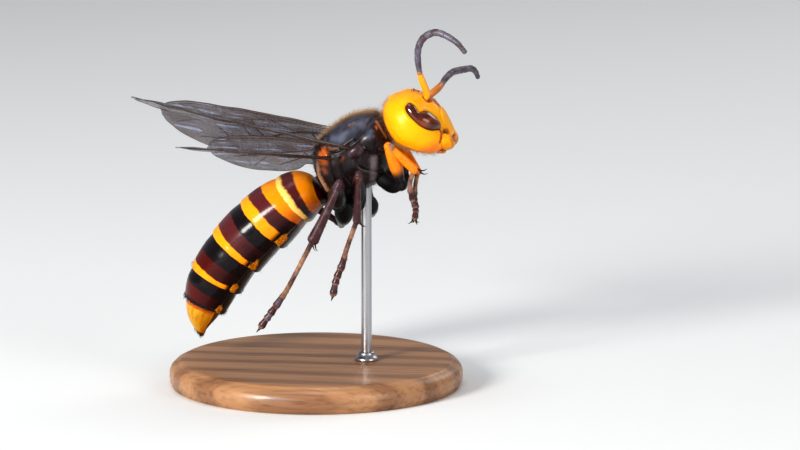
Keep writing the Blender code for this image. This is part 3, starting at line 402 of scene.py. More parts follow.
# Each wing's hinge and tip, and the way its leading side points.
WINGS = {
    "forewing_L": {"hinge": (0.4, 3.9, 1.5), "tip": (-26.1, 14.0, 3.8), "lead": (0.0, -0.63, 0.77)},
    "hindwing_L": {"hinge": (-2.2, 3.4, 0.5), "tip": (-19.9, 12.5, -0.6), "lead": (0.0, -0.6, 0.8)},
    "forewing_R": {"hinge": (0.4, -3.9, 1.5), "tip": (-20.5, -20.4, 9.15), "lead": (0.14, -0.97, 0.17)},
    "hindwing_R": {"hinge": (-1.7, -3.5, 0.2), "tip": (-16.5, -15.2, 2.9), "lead": (0.14, -0.97, 0.17)},
}

# Stand, in millimetres from its own middle on the floor: radius and height up the turned edge, then
# the rings of the flat underside and top as shares of the radius next to them.
BASE_PROFILE = ((16.4, 0.0), (16.7, 0.12), (16.7, 0.5), (16.95, 0.7), (17.0, 1.2), (16.98, 1.7),
                (16.8, 2.2), (16.4, 2.6), (16.0, 2.72), (15.85, 2.82), (15.7, 2.95), (15.3, 3.0))
UNDER_RINGS = (0.02, 0.3, 0.6, 0.9)
TOP_RINGS = (0.97, 0.8, 0.6, 0.4, 0.2, 0.02)
ROD_RADIUS = 0.6
ROD_AHEAD = 5.9
ROD_FOOT = 2.9
ROD_TOP = 24.6
COLLAR_PROFILE = ((1.35, 2.99), (1.35, 3.3), (1.15, 3.5), (1.0, 3.55), (0.95, 3.9), (0.85, 4.05), (0.6, 4.1))

# Camera, at the photograph's angle: its target, its distance and the width that its frame takes in,
# 800 pixels at 8.7 pixels a millimetre.
VIEW_ANGLES = (math.radians(8.0), math.radians(10.0))
VIEW_TARGET = (9.80360674, 0.0, 18.97232117)
VIEW_DISTANCE = 500.0
VIEW_WIDTH = 800 / 8.7
SENSOR = 36.0

# Studio, in metres: each light's place, width, power and colour, all aimed at one spot.
LIGHT_TARGET = (0.002, 0.0, 0.024)
LIGHTS = {
    "key_light": ((-0.26, -0.40, 0.17), 0.14, 2.8, (1.0, 0.98, 0.94)),
    "top_light": ((-0.05, 0.0, 0.55), 0.34, 0.8, (0.86, 0.92, 1.0)),
    "fill_light": ((0.42, -0.3, 0.2), 0.3, 0.9, (1.0, 0.98, 0.95)),
    "rim_light": ((0.25, 0.4, 0.3), 0.25, 0.35, (1.0, 0.97, 0.93)),
}
SKY_COLOUR = (0.92, 0.95, 1.0, 1.0)
SKY_STRENGTH = 0.29
FLOOR_HALF = 3.0

# Colours that stay the same: the warm tint of gloss on yellow shell, the lines in the wood and the
# steel, and the clouding of the floor.
WARM_GLOSS = (1.0, 0.72, 0.22, 1.0)
WOOD_LINES = (0.13, 0.05, 0.02, 1.0)
STEEL_LINES = (0.4, 0.4, 0.42, 1.0)
FLOOR_CLOUDS = (0.7, 0.7, 0.7, 1.0)

# Fields that help to build a piece and stay out of its mesh.
BUILD_FIELDS = {"flow", "chart_u", "chart_v"}
# Turns of the rows that close a limb's end round, and a skin's end in a low dome, tip first.
END_TURNS = tuple(math.radians(turn) for turn in (20, 42, 63, 80))
END_REACH = 0.7
CAP_TURNS = np.radians((86, 72, 58, 44, 30, 15))
CAP_REACH = 0.22
# The angle left open at each pole of a lens.
POLE_GAP = 0.04
# How finely a skin's chart is read, the points of a line between two of its corners, and the step for
# its slopes.
CHART_STEPS = 800
LINE_STEPS = 12
SLOPE_STEP = 0.02

# A hair is a spike of two rings of three points and a tip. The rings' places along it and thicknesses,
# how far each point is towards the tip, the faces, the points' places on the hair's patch of the bake
# chart, the size of that patch, and how far the hairs scatter from their way.
HAIR_RINGS = ((-0.12, 1.0), (0.45, 0.8))
HAIR_TIPS = (0, 0, 0, 0.5, 0.5, 0.5, 1)
HAIR_POINTS = len(HAIR_TIPS)
HAIR_FACES = np.array(((0, 2, 1), (0, 1, 4), (0, 4, 3), (1, 2, 5), (1, 5, 4), (2, 0, 3), (2, 3, 5),
                       (3, 4, 6), (4, 5, 6), (5, 3, 6)))
HAIR_CHART = np.array(((0, 0), (0.5, 0), (1, 0), (0, 0.5), (0.5, 0.5), (1, 0.5), (0.5, 1)))
HAIR_PATCH = 0.003
HAIR_SCATTER = 0.35
# Seed of each pair of legs' bristles.
LEG_SEEDS = {"front": 19, "mid": 17, "hind": 18}


def colour(name, description, default):
    return FloatVectorProperty(name=name, description=description, default=default, subtype="COLOR",
                               size=3, min=0.0, max=1.0)


def length(name, description, default):
    return FloatProperty(name=name, description=description, default=default, min=0.0, unit="LENGTH",
                         precision=5)


class HornetColours(PropertyGroup):
    """The colours of the hornet and its stand."""

    yellow: colour("Yellow", "Head shell", (0.96, 0.42, 0.0))
    orange: colour("Orange", "Orange parts of the head, gaster and front legs", (0.84, 0.18, 0.001))
    pale_yellow: colour("Pale yellow", "Rim of the first gaster plate", (0.93, 0.55, 0.13))
    orange_yellow: colour("Orange-yellow", "Bands of the gaster, jaws and first feeler joints",
                          (0.92, 0.35, 0.004))
    tail_yellow: colour("Tail yellow", "Last gaster plate", (0.60, 0.31, 0.008))
    deep_red: colour("Deep red", "Red-brown of the rear gaster plates", (0.070, 0.004, 0.002))
    purple: colour("Purple", "Purple-brown of the gaster bands", (0.090, 0.014, 0.016))
    black: colour("Black", "Black of the thorax and gaster", (0.005, 0.0035, 0.005))
    # Brown is the last plate's own streaks and band, and also painted shade on the face patch, the feelers
    # and the last plate's lower sides.
    brown: colour("Brown", "Brown face patch and streaks of the last plate", (0.38, 0.075, 0.003))
    rust: colour("Rust", "Rusty marks on the thorax", (0.50, 0.11, 0.012))
    eye: colour("Eye", "Compound eye", (0.065, 0.006, 0.002))
    leg_brown: colour("Leg brown", "Mid and hind legs and the feelers", (0.038, 0.014, 0.016))
    tan: colour("Tan", "Pale joints, feet and folds", (0.42, 0.22, 0.12))
    wing_brown: colour("Wing brown", "Wing membrane", (0.050, 0.030, 0.034))
    vein: colour("Vein", "Wing veins", (0.035, 0.014, 0.010))
    # Painted sheen: a bluish reflection of the sky, painted into the colour of thorax, legs, feelers and
    # wings.
    bloom: colour("Painted sheen", "Bluish sheen of wings and thorax", (0.36, 0.40, 0.58))
    hair: colour("Dark hair", "Hair and bristles of the body", (0.055, 0.026, 0.014))
    golden: colour("Golden hair", "Hair along the back and at the nape", (0.55, 0.33, 0.15))
    wood: colour("Wood", "Wood of the stand", (0.40, 0.20, 0.09))
    steel: colour("Steel", "Steel rod of the stand", (0.45, 0.45, 0.47))
    floor: colour("Floor", "Studio floor", (0.82, 0.82, 0.81))


class HornetSizes(PropertyGroup):
    """Sizes of the fine forms."""

    eye_bulge: length("Eye bulge", "How far the eyes stand out of the head", 0.00055)
    rim_step: length("Rim step", "Step from one gaster plate down to the next", 0.00011)
    membrane: length("Membrane", "Thickness of the wing membrane", 0.00006)
    vein_radius: length("Vein radius", "Radius of the thickest wing veins", 0.00012)
    body_hair: length("Body hair", "Length of the hair on the thorax", 0.00070)
    face_hair: length("Face hair", "Length of the hair on the face", 0.00028)
    gaster_hair: length("Gaster hair", "Length of the hair on the gaster", 0.00030)
    leg_hair: length("Leg hair", "Length of the bristles on the legs", 0.00028)


def size(name):
    """A size from the panel, in millimetres."""
    return getattr(bpy.context.scene.hornet_sizes, name) / MM


def paint(name):
    """A colour from the panel, for a shader's socket."""
    return (*getattr(bpy.context.scene.hornet_colours, name), 1.0)


# Shapes

def smooth(rows, places):
    """Rows on the smooth curve through the given rows, at places counted in spans from the first."""
    rows = np.asarray(rows, float)
    ends = np.vstack([2 * rows[0] - rows[1], rows, 2 * rows[-1] - rows[-2]])
    places = np.asarray(places, float)
    span = np.clip(places.astype(int), 0, len(rows) - 2)
    t = (places - span)[..., None]
    a, b, c, d = (ends[span + k] for k in range(4))
    return 0.5 * (2 * b + (c - a) * t + (2 * a - 5 * b + 4 * c - d) * t ** 2
                  + (3 * b - a - 3 * c + d) * t ** 3)


def through(rows, count):
    """The smooth curve through the rows, read at count even places."""
    return smooth(rows, np.linspace(0, len(rows) - 1, count))


def even(line, count):
    """A line of points, drawn again with count points at equal distances."""
    far = np.concatenate([[0], np.cumsum(np.linalg.norm(np.diff(line, axis=0), axis=1))])
    spots = np.linspace(0, far[-1], count)
    return np.stack([np.interp(spots, far, axis) for axis in line.T], -1)


def pick(line, shares):
    """Rows of a fine line at shares of its length."""
    last = len(line) - 1
    return line[np.clip(np.round(shares * last).astype(int), 0, last)]


def read(values, places):
    """Values spread evenly over 0 to 1, read at places."""
    return np.interp(places, np.linspace(0, 1, len(values)), values)


def soft_step(value, low, high):
    """0 below low, 1 above high and smooth between."""
    share = np.clip((value - low) / (high - low), 0, 1)
    return share * share * (3 - 2 * share)


def hump(distance, width):
    """1 at no distance, falling smoothly to nothing."""
    return np.exp(-(distance / width) ** 2)


def unit(ways):
    """The ways, each made one long."""
    ways = np.asarray(ways, float)
    return ways / np.maximum(np.linalg.norm(ways, axis=-1, keepdims=True), 1e-9)


def power(value, square):
    """A sine or cosine bent so that the form turns squarer, its sign kept."""
    return np.sign(value) * np.abs(value) ** (2 / square)


def thorax_place(points):
    """Points on the thorax's axes, placed on the body."""
    cos, sin = math.cos(THORAX_PITCH), math.sin(THORAX_PITCH)
    length, side, height = np.moveaxis(np.asarray(points, float), -1, 0)
    return np.stack([length * cos - height * sin, side, length * sin + height * cos], -1)


def head_place(points):
    """Points on the head's axes, placed on the body."""
    cos, sin = math.cos(HEAD_TIP), math.sin(HEAD_TIP)
    down, side, front = np.moveaxis(np.asarray(points, float), -1, 0)
    return HEAD_AT + np.stack([down * cos + front * sin, side, front * cos - down * sin], -1)


def gaster_place(points):
    """The gaster's points, which are written on the body's own axes."""
    return np.asarray(points, float)


def left_side(points):
    """The points, with those of the right side mirrored to the left."""
    left = points.copy()
    left[..., 1] = np.abs(left[..., 1])
    return left


def from_top(angles):
    """Angles from the upper point of a ring, counted down both sides alike."""
    return np.where(angles > math.pi, math.tau - angles, angles)


def gap_to(points, line, reach):
    """How far each point lies from a line of points, up to reach."""
    line = np.asarray(line, float)
    found = np.full(points.shape[:-1], float(reach))
    inside = np.all((points > line.min(0) - reach) & (points < line.max(0) + reach), axis=-1)
    near = points[inside]
    best = np.full(len(near), float(reach))
    for start, end in zip(line, line[1:]):
        run = end - start
        share = np.clip((near - start) @ run / max(run @ run, 1e-9), 0, 1)
        best = np.minimum(best, np.linalg.norm(near - start - share[:, None] * run, axis=1))
    found[inside] = best
    return found


def inside_line(x, y, corners):
    """Whether each place lies inside a closed line of corners."""
    inside = np.zeros(np.shape(x), bool)
    for (ax, ay), (bx, by) in zip(corners, np.roll(corners, -1, axis=0)):
        crosses = (ay > y) != (by > y)
        inside ^= crosses & (x < (bx - ax) * (y - ay) / (by - ay + 1e-12) + ax)
    return inside


def grid_normals(grid):
    """Outward normals of a closed grid, whose rows are rings."""
    along = np.empty_like(grid)
    along[1:-1] = grid[2:] - grid[:-2]
    along[0], along[-1] = grid[1] - grid[0], grid[-1] - grid[-2]
    around = np.roll(grid, -1, axis=1) - np.roll(grid, 1, axis=1)
    normals = unit(np.cross(around, along))
    outward = grid - grid.mean(axis=1, keepdims=True)
    return normals * np.sign((normals * outward).sum())


class Skin:
    """A rounded form through rings, each given by an upper and a lower point and a half width."""

    def __init__(self, rings, square, place):
        self.rings, self.square, self.place = np.asarray(rings, float), square, place
        self.fine = np.linspace(0, len(rings) - 1, CHART_STEPS)
        upper, _, lower, _, _ = self.ring(self.fine)
        self.middles = (upper + lower) / 2

    def ring(self, spot):
        return np.moveaxis(smooth(self.rings, spot), -1, 0)

    def surface(self, spot, angle):
        """Points on the form at ring places and at angles from the upper point."""
        upper_a, upper_b, lower_a, lower_b, half = self.ring(spot)
        up, across = power(np.cos(angle), self.square), power(np.sin(angle), self.square)
        return np.stack([
            (upper_a + lower_a) / 2 + (upper_a - lower_a) / 2 * up,
            half * across,
            (upper_b + lower_b) / 2 + (upper_b - lower_b) / 2 * up], -1)

    def at(self, chart):
        """Points on the form, at rows of a ring place and an angle."""
        return self.surface(chart[..., 0], chart[..., 1])

    def grid(self, spots, columns):
        """Ring places, angles and points of a grid over the whole form."""
        angles = np.linspace(0, math.tau, columns, endpoint=False)
        spots, angles = np.meshgrid(spots, angles, indexing="ij")
        return spots, angles, self.surface(spots, angles)

    def normal(self, chart):
        """The ways that the form faces, at rows of a ring place and an angle."""
        along, around = (SLOPE_STEP, 0.0), (0.0, SLOPE_STEP)
        return unit(np.cross(self.at(chart + around) - self.at(chart - around),
                             self.at(chart + along) - self.at(chart - along)))

    def chart(self, points):
        """The ring places and angles of points near the surface, as rows of two."""
        first, side, last = np.moveaxis(np.asarray(points, float), -1, 0)
        order = np.argsort(self.middles)
        spot = np.interp(first, self.middles[order], self.fine[order])
        _, upper, _, lower, half = self.ring(spot)
        up = power((last - (upper + lower) / 2) / ((upper - lower) / 2), 4 / self.square)
        across = power(side / half, 4 / self.square)
        return np.stack([spot, np.arctan2(across, up)], -1)

    def line(self, points):
        """Points close together on the surface, along a smooth line through a few."""
        return self.at(through(self.chart(points), LINE_STEPS * (len(points) - 1) + 1))

    def on(self, point):
        """The point of the surface next to a given one."""
        return self.at(self.chart([point])[0])


def plain_rings(rows):
    """Rings square to their axis: place, upper reach, lower reach and half width."""
    return [(place, upper, place, lower, half) for place, upper, lower, half in rows]


HEAD = Skin(plain_rings(HEAD_RINGS), HEAD_SQUARE, head_place)
THORAX = Skin(plain_rings(THORAX_RINGS), THORAX_SQUARE, thorax_place)
GASTER = Skin(GASTER_RINGS, GASTER_SQUARE, gaster_place)


class Form:
    """The mesh of one piece, gathered from closed surfaces with fields on their points."""

    def __init__(self):
        self.points, self.faces, self.fields, self.count = [], [], [], 0

    def add(self, points, faces, **fields):
        self.points.append(points)
        self.faces += [group + self.count for group in faces]
        self.fields.append((self.count, len(points), fields))
        self.count += len(points)

    def tube(self, grid, **fields):
        """A closed surface through rings of points, each end closed at its middle."""
        rows, columns = grid.shape[:2]
        total = rows * columns
        index = np.arange(total).reshape(rows, columns)
        after = np.roll(index, -1, axis=1)
        quads = np.stack([index[:-1], after[:-1], after[1:], index[1:]], -1).reshape(-1, 4)
        first = np.stack([np.full(columns, total), after[0], index[0]], -1)
        last = np.stack([np.full(columns, total + 1), index[-1], after[-1]], -1)
        points = np.vstack([grid.reshape(-1, 3), grid[0].mean(0), grid[-1].mean(0)])
        a, b, c = (points[quads[:, k]] - points.mean(0) for k in (0, 1, 2))
        faces = [quads, first, last]
        if (np.cross(a, b) * c).sum() < 0:
            faces = [group[:, ::-1] for group in faces]
        flow = np.gradient(grid, axis=0)
        fields.setdefault("place", grid)
        fields["flow"] = unit(flow)
        fields["chart_u"] = np.repeat(np.linspace(0, 1, rows)[:, None], columns, axis=1)
        fields["chart_v"] = np.repeat(np.linspace(0, 1, columns)[None], rows, axis=0)
        flat = {}
        for name, value in fields.items():
            wide = 3 if name in ("place", "flow") else 1
            value = np.broadcast_to(value, (rows, columns, 3) if wide == 3 else (rows, columns))
            value = value.reshape(total, -1)
            flat[name] = np.vstack([value, value[:columns].mean(0), value[-columns:].mean(0)])
        self.add(points, faces, **flat)

    def names(self):
        """The names of all fields, in order."""
        return sorted({key for _, _, fields in self.fields for key in fields})

    def triangles(self):
        """All faces, with each face of four corners cut in two."""
        return np.vstack([group if group.shape[1] == 3 else np.vstack([group[:, :3], group[:, [0, 2, 3]]])
                          for group in self.faces])

    def gathered(self, name, wide=1):
        """One field over all points, 0 where a surface doesn't have it."""
        values = np.zeros((self.count, wide))
        for start, length, fields in self.fields:
            if name in fields:
                values[start:start + length] = fields[name]
        return values

    def make(self, name, finish, slot, *nodes, uv=None):
        """Makes the piece, with its material, and hides the CAD nodes that it takes the place of."""
        mesh = bpy.data.meshes.new(name)
        points = np.vstack(self.points) + BODY_AT
        mesh.vertices.add(self.count)
        mesh.vertices.foreach_set("co", (points * MM).astype(np.float32).ravel())
        sizes = np.concatenate([np.full(len(group), group.shape[1]) for group in self.faces])
        corners = np.concatenate([group.ravel() for group in self.faces]).astype(np.int32)
        mesh.loops.add(len(corners))
        mesh.loops.foreach_set("vertex_index", corners)
        mesh.polygons.add(len(sizes))
        starts = np.concatenate([[0], np.cumsum(sizes)[:-1]])
        mesh.polygons.foreach_set("loop_start", starts.astype(np.int32))
        for key in self.names():
            if key in BUILD_FIELDS:
                continue
            wide = 3 if key == "place" else 1
            kind = "FLOAT_VECTOR" if wide == 3 else "FLOAT"
            layer = mesh.attributes.new(key, kind, "POINT")
            layer.data.foreach_set("vector" if wide == 3 else "value",
                                   self.gathered(key, wide).astype(np.float32).ravel())
        if uv is not None:
            layer = mesh.uv_layers.new(name="OFBake")
            layer.data.foreach_set("uv", uv[corners].astype(np.float32).ravel())
        mesh.update(calc_edges=True)
        mesh.validate()
        mesh.shade_smooth()
        made = bpy.data.objects.new(name, mesh)
        bpy.context.scene.collection.objects.link(made)
        mesh.materials.append(material(finish))
        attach(made, "root")
        if nodes:
            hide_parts(*nodes)


FORMS = {}


def keep_form(name):
    """A new form that the coat will grow on later."""
    FORMS[name] = Form()
    return FORMS[name]


def with_round_ends(rows):
    """Rows of a place and radii, with rows added that close both ends round."""
    ends = []
    for end, inner in ((rows[0], rows[1]), (rows[-1], rows[-2])):
        reach = unit(end[:3] - inner[:3]) * end[3:].max() * END_REACH
        ends.append([np.concatenate([end[:3] + reach * math.sin(turn), end[3:] * math.cos(turn)])
                     for turn in END_TURNS])
    return np.vstack([ends[0][::-1], rows, ends[1]])


def limb_grid(rows, columns, side):
    """A tube through rows of a place, a half width and a half depth, its width kept towards side."""
    rows = np.asarray(rows, float)
    ways = unit(np.gradient(rows[:, :3], axis=0))
    wide = np.empty_like(ways)
    last = np.asarray(side, float)
    for k, way in enumerate(ways):
        last = unit(last - way * (last @ way))
        wide[k] = last
    deep = np.cross(ways, wide)
    turn = np.linspace(0, math.tau, columns, endpoint=False)
    return (rows[:, None, :3] + wide[:, None] * rows[:, None, 3:4] * np.cos(turn)[None, :, None]
            + deep[:, None] * rows[:, None, 4:5] * np.sin(turn)[None, :, None])


def limb_rows(path, radii, count, flat=1.0):
    """Rows along a smooth path, with radii read along it and a depth that is a share of the width."""
    middle = through(path, count)
    radius = read_smooth(radii, count)
    return np.column_stack([middle, radius, radius * flat])


def read_smooth(values, count):
    """The smooth line through values, read at count even places."""
    return through(np.asarray(values, float)[:, None], count)[:, 0]


def add_limb(form, rows, columns, side=UP, **fields):
    """Adds a limb with round ends; a field given as values is read along the limb."""
    full = with_round_ends(np.asarray(rows, float))
    shares = np.clip((np.arange(len(full)) - len(END_TURNS)) / (len(rows) - 1), 0, 1)
    spread = {key: read(np.atleast_1d(value), shares)[:, None] for key, value in fields.items()}
    form.tube(limb_grid(full, columns, side), along=shares[:, None], **spread)


def ball_grid(middle, sizes, rows, columns, square=2.0):
    """A rounded lens with its half sizes along three axes."""
    polar = np.linspace(POLE_GAP, math.pi - POLE_GAP, rows)[:, None]
    turns = np.linspace(0, math.tau, columns, endpoint=False)[None]
    local = np.stack([power(np.cos(polar), square) * np.ones_like(turns),
                      power(np.sin(polar), square) * power(np.cos(turns), square),
                      power(np.sin(polar), square) * power(np.sin(turns), square)], -1)
    return np.asarray(middle) + local * np.asarray(sizes)


def cap_rows(grid, end):
    """Rows that close a grid's end in a low dome, from the tip inwards."""
    ring = grid[end]
    middle = ring.mean(0)
    inner = grid[1 if end == 0 else -2].mean(0)
    way = unit(middle - inner)
    reach = np.linalg.norm(ring - middle, axis=-1).mean() * CAP_REACH
    return np.stack([middle + (ring - middle) * math.cos(turn) + way * reach * math.sin(turn)
                     for turn in CAP_TURNS])


def raised(local, relief):
    """A skin raised by its relief, with the rows that close both ends."""
    shaped = local + grid_normals(local) * relief[..., None]
    return np.concatenate([cap_rows(shaped, 0), shaped, cap_rows(shaped, -1)[::-1]])


def padded(values):
    """Values on a skin's grid, repeated over the rows that close both ends."""
    extra = len(CAP_TURNS)
    return np.concatenate([values[:1]] * extra + [values] + [values[-1:]] * extra)


# Materials

EVEN = (1.0, 1.0, 1.0)


class Value:
    """A number inside a material. Arithmetic on it adds Math nodes."""

    def __init__(self, finish, socket):
        self.finish, self.socket = finish, socket

    def maths(self, operation, first, second):
        """The value of a Math node on two values."""
        return self.finish.value("ShaderNodeMath", {"operation": operation}, {0: first, 1: second})

    def __add__(self, other):
        return self.maths("ADD", self, other)

    def __sub__(self, other):
        return self.maths("SUBTRACT", self, other)

    def __rsub__(self, other):
        return self.maths("SUBTRACT", other, self)

    def __mul__(self, other):
        return self.maths("MULTIPLY", self, other)

    __radd__ = __add__
    __rmul__ = __mul__


class Finish:
    """A material whose nodes are added one by one behind its Principled shader."""

    def __init__(self, name, **constants):
        self.material = bpy.data.materials.new(name)
        self.material.use_nodes = True
        self.tree = self.material.node_tree
        self.shader = self.tree.nodes["Principled BSDF"]
        for key, value in constants.items():
            self.shader.inputs[key.replace("_", " ")].default_value = value

    def link(self, value, target):
        """Joins a value or a socket to a target socket, or sets a constant on it."""
        if isinstance(value, Value):
            value = value.socket
        if isinstance(value, bpy.types.NodeSocket):
            self.tree.links.new(value, target)
        else:
            target.default_value = value

    def node(self, kind, settings=None, inputs=None, output=0):
        """An output of a new node, with its settings made and its inputs filled."""
        made = self.tree.nodes.new(kind)
        for key, value in (settings or {}).items():
            setattr(made, key, value)
        for key, value in (inputs or {}).items():
            self.link(value, made.inputs[key])
        return made.outputs[output]

    def value(self, *given, **named):
        """The same as node, wrapped for arithmetic."""
        return Value(self, self.node(*given, **named))

    def field(self, name):
        """A field on the piece's points."""
        return self.value("ShaderNodeAttribute", {"attribute_name": name}, output="Fac")

    def place(self, stretch=EVEN):
        """The place on the piece, before it was put on the body, stretched along its axes."""
        spot = self.node("ShaderNodeAttribute", {"attribute_name": "place"}, output="Vector")
        if stretch == EVEN:
            return spot
        return self.node("ShaderNodeVectorMath", {"operation": "MULTIPLY"}, {0: spot, 1: stretch})

    def noise(self, scale, detail=3.0, stretch=EVEN):
        return self.value("ShaderNodeTexNoise", None,
                          {"Vector": self.place(stretch), "Scale": scale, "Detail": detail})

    def wander(self, reach, scale, detail=3.0):
        """Noise on both sides of 0, half the reach to each."""
        return (self.noise(scale, detail) - 0.5) * reach

    def cells(self, scale):
        return self.value("ShaderNodeTexVoronoi", None, {"Vector": self.place(), "Scale": scale})

    def step(self, value, low, high):
        return self.value("ShaderNodeMapRange", {"interpolation_type": "SMOOTHSTEP"},
                          {"Value": value, "From Min": low, "From Max": high})

    def mix(self, factor, first, second):
        """Two colours mixed, through the colour sockets of a Mix node: inputs 6 and 7, output 2."""
        return self.node("ShaderNodeMix", {"data_type": "RGBA"}, {0: factor, 6: first, 7: second}, 2)

    def marked(self, colour, name, scale, waver, low, high, mark):
        """The colour with a mark over it where the named field is high, its edge wavering with noise."""
        factor = self.step(self.field(name) + self.noise(scale) * waver, low, high)
        return self.mix(factor, colour, mark)

    def wear(self, *, colour=None, roughness=None, height=None, depth=0.03, alpha=None, coat=None):
        """Links what changes over the surface; depth is the bump's depth in millimetres."""
        for key, value in (("Base Color", colour), ("Roughness", roughness), ("Alpha", alpha),
                           ("Coat Weight", coat)):
            if value is not None:
                self.link(value, self.shader.inputs[key])
        if height is not None:
            bump = self.node("ShaderNodeBump", None,
                             {"Distance": depth * MM, "Height": height, "Strength": 1.0})
            self.link(bump, self.shader.inputs["Normal"])
        return self.material


def head_colour(f):
    """Yellow, turning orange towards the nape and jaws, with brown and black marks on the face; part of the
    orange and of the marks is painted shade.
    """
    colour = f.marked(paint("yellow"), "ruddy", 0.9, 0.3, 0.35, 1.05, paint("orange"))
    colour = f.mix(f.noise(2.2) * 0.25, colour, paint("orange"))
    colour = f.marked(colour, "brown", 3.0, 0.3, 0.3, 0.8, paint("brown"))
    return f.marked(colour, "dark", 3.0, 0.2, 0.35, 0.75, paint("black"))


def head_shell():
    """Thin satin shell over finely pitted yellow."""
    f = Finish("head_shell", Coat_Weight=0.17, Coat_Roughness=0.2, Coat_IOR=1.38, Specular_IOR_Level=0.55,
               Specular_Tint=WARM_GLOSS)
    pits = f.step(f.cells(5.2), 0.05, 0.32)
    height = pits * 0.5 + f.noise(7.0, 4.0) * 0.5 + f.noise(1.4) * 0.5
    return f.wear(colour=head_colour(f), roughness=f.noise(5.0) * 0.14 + 0.36, height=height, depth=0.025)


def head_coat():
    f = Finish("head_coat", Roughness=0.5)
    return f.wear(colour=f.mix(f.step(f.field("around"), 0.7, 0.9), head_colour(f), paint("golden")))


def eye_finish():
    """Glossy dark brown with fine facets, matt along the rim and nearly black there as painted shade."""
    f = Finish("compound_eye", Coat_Roughness=0.1, Specular_IOR_Level=0.2)
    patch = f.step(f.noise(0.8, 2.0), 0.45, 0.72)
    colour = f.mix(patch * 0.4, paint("eye"), paint("brown"))
    # Painted shade: the eye turns nearly black towards its rim, where it meets its pit.
    rim = f.step(f.field("rim"), 0.5, 0.95)
    colour = f.mix(rim * 0.5, colour, paint("black"))
    return f.wear(colour=colour, roughness=f.noise(2.0) * 0.15 + 0.14 + rim * 0.3, height=f.cells(16.0),
                  depth=0.006, coat=1 - rim * 0.92)


def ocellus_finish():
    f = Finish("ocellus", Coat_Weight=1.0, Coat_Roughness=0.03)
    return f.wear(colour=f.mix(f.noise(3.0), paint("deep_red"), paint("brown")),
                  roughness=f.noise(4.0) * 0.1 + 0.08)


def jaw_finish():
    """Orange-yellow turning brown along the jaw, and black at its teeth."""
    f = Finish("jaw_shell", Coat_Weight=0.15, Coat_Roughness=0.15, Coat_IOR=1.35, Specular_IOR_Level=0.4,
               Specular_Tint=WARM_GLOSS)
    browner = f.step(f.noise(1.6) + f.field("along") * 0.45, 0.3, 1.25)
    colour = f.mix(browner, paint("orange_yellow"), paint("brown"))
    colour = f.marked(colour, "dark", 3.0, 0.3, 0.45, 0.9, paint("black"))
    height = f.noise(4.0, 4.0, (1.0, 1.0, 3.0)) + f.step(f.cells(4.0), 0.05, 0.3) * 0.5
    return f.wear(colour=colour, roughness=f.noise(5.0) * 0.2 + 0.22, height=height, depth=0.04)


def feeler_colour(f):
    """Brown with a painted bluish sheen, tan at the joints, orange-yellow on the first joint and browner in
    painted shade.
    """
    colour = f.mix(f.step(f.noise(1.3), 0.3, 0.7) * 0.22, paint("leg_brown"), paint("bloom"))
    colour = f.marked(colour, "pale", 2.0, 0.25, 0.2, 1.1, paint("tan"))
    colour = f.marked(colour, "ruddy", 2.5, 0.25, 0.3, 0.95, paint("orange_yellow"))
    # Painted shade: browner where the field shade is high.
    return f.mix(f.step(f.field("shade"), 0.0, 0.6) * 0.75, colour, paint("brown"))


def feeler_finish():
    f = Finish("feeler_shell", Coat_Weight=0.3, Coat_Roughness=0.25)
    return f.wear(colour=feeler_colour(f), roughness=f.noise(6.0) * 0.2 + 0.32,
                  height=f.noise(14.0, 2.0) + f.cells(11.0), depth=0.02)


def thorax_colour(f):
    """Near black with a purple-brown cast, grey-blue painted sheen above, marks in orange and tan, and
    painted shade in a pit.
    """
    colour = f.mix(f.step(f.noise(0.8), 0.35, 0.75) * 0.14, paint("black"), paint("deep_red"))
    # Painted sheen: grey-blue sky reflection on the upper back, and painted sheen patches from the sheen
    # marks.
    bloom = f.field("bloom") * (f.step(f.noise(0.9, 3.0), 0.25, 0.85) * 0.16 + 0.03)
    colour = f.mix(bloom, colour, paint("bloom"))
    sheen = f.step(f.field("sheen") + f.wander(0.6, 1.3, 2.0), 0.2, 1.4)
    colour = f.mix(sheen * 0.28, colour, paint("bloom"))
    # The grey hair is part tan, part painted sheen.
    speckle = f.step(f.field("grey") + f.wander(1.3, 7.0, 4.0), 0.3, 1.2)
    colour = f.mix(speckle * 0.2, colour, paint("tan"))
    colour = f.mix(speckle * 0.2, colour, paint("bloom"))
    blotch = f.wander(0.9, 3.5, 5.0)
    colour = f.mix(f.step(f.field("tan") + blotch, 0.3, 1.15) * 0.8, colour, paint("tan"))
    rusty = f.mix(f.step(f.field("orange"), 0.6, 1.4), paint("rust"), paint("orange"))
    colour = f.mix(f.step(f.field("orange") + blotch * 0.25, 0.15, 0.95) * 0.9, colour, rusty)
    # The dark mark is painted shade in the pit beside the scutellum.
    return f.mix(f.step(f.field("dark"), 0.4, 0.9), colour, paint("black"))


def thorax_shell():
    f = Finish("thorax_shell", Coat_Weight=0.4, Coat_Roughness=0.16, Coat_IOR=1.35, Specular_IOR_Level=0.16)
    pits = f.step(f.cells(5.5), 0.05, 0.3)
    height = pits * 0.6 + f.noise(9.0, 4.0) * 0.6
    return f.wear(colour=thorax_colour(f), roughness=f.noise(4.0) * 0.2 + 0.3, height=height, depth=0.016)


def thorax_coat():
    f = Finish("thorax_coat", Roughness=0.5)
    crest = f.field("crest") * f.field("back")
    return f.wear(colour=f.mix(crest * 0.9 + f.field("tip") * 0.1, paint("hair"), paint("golden")))


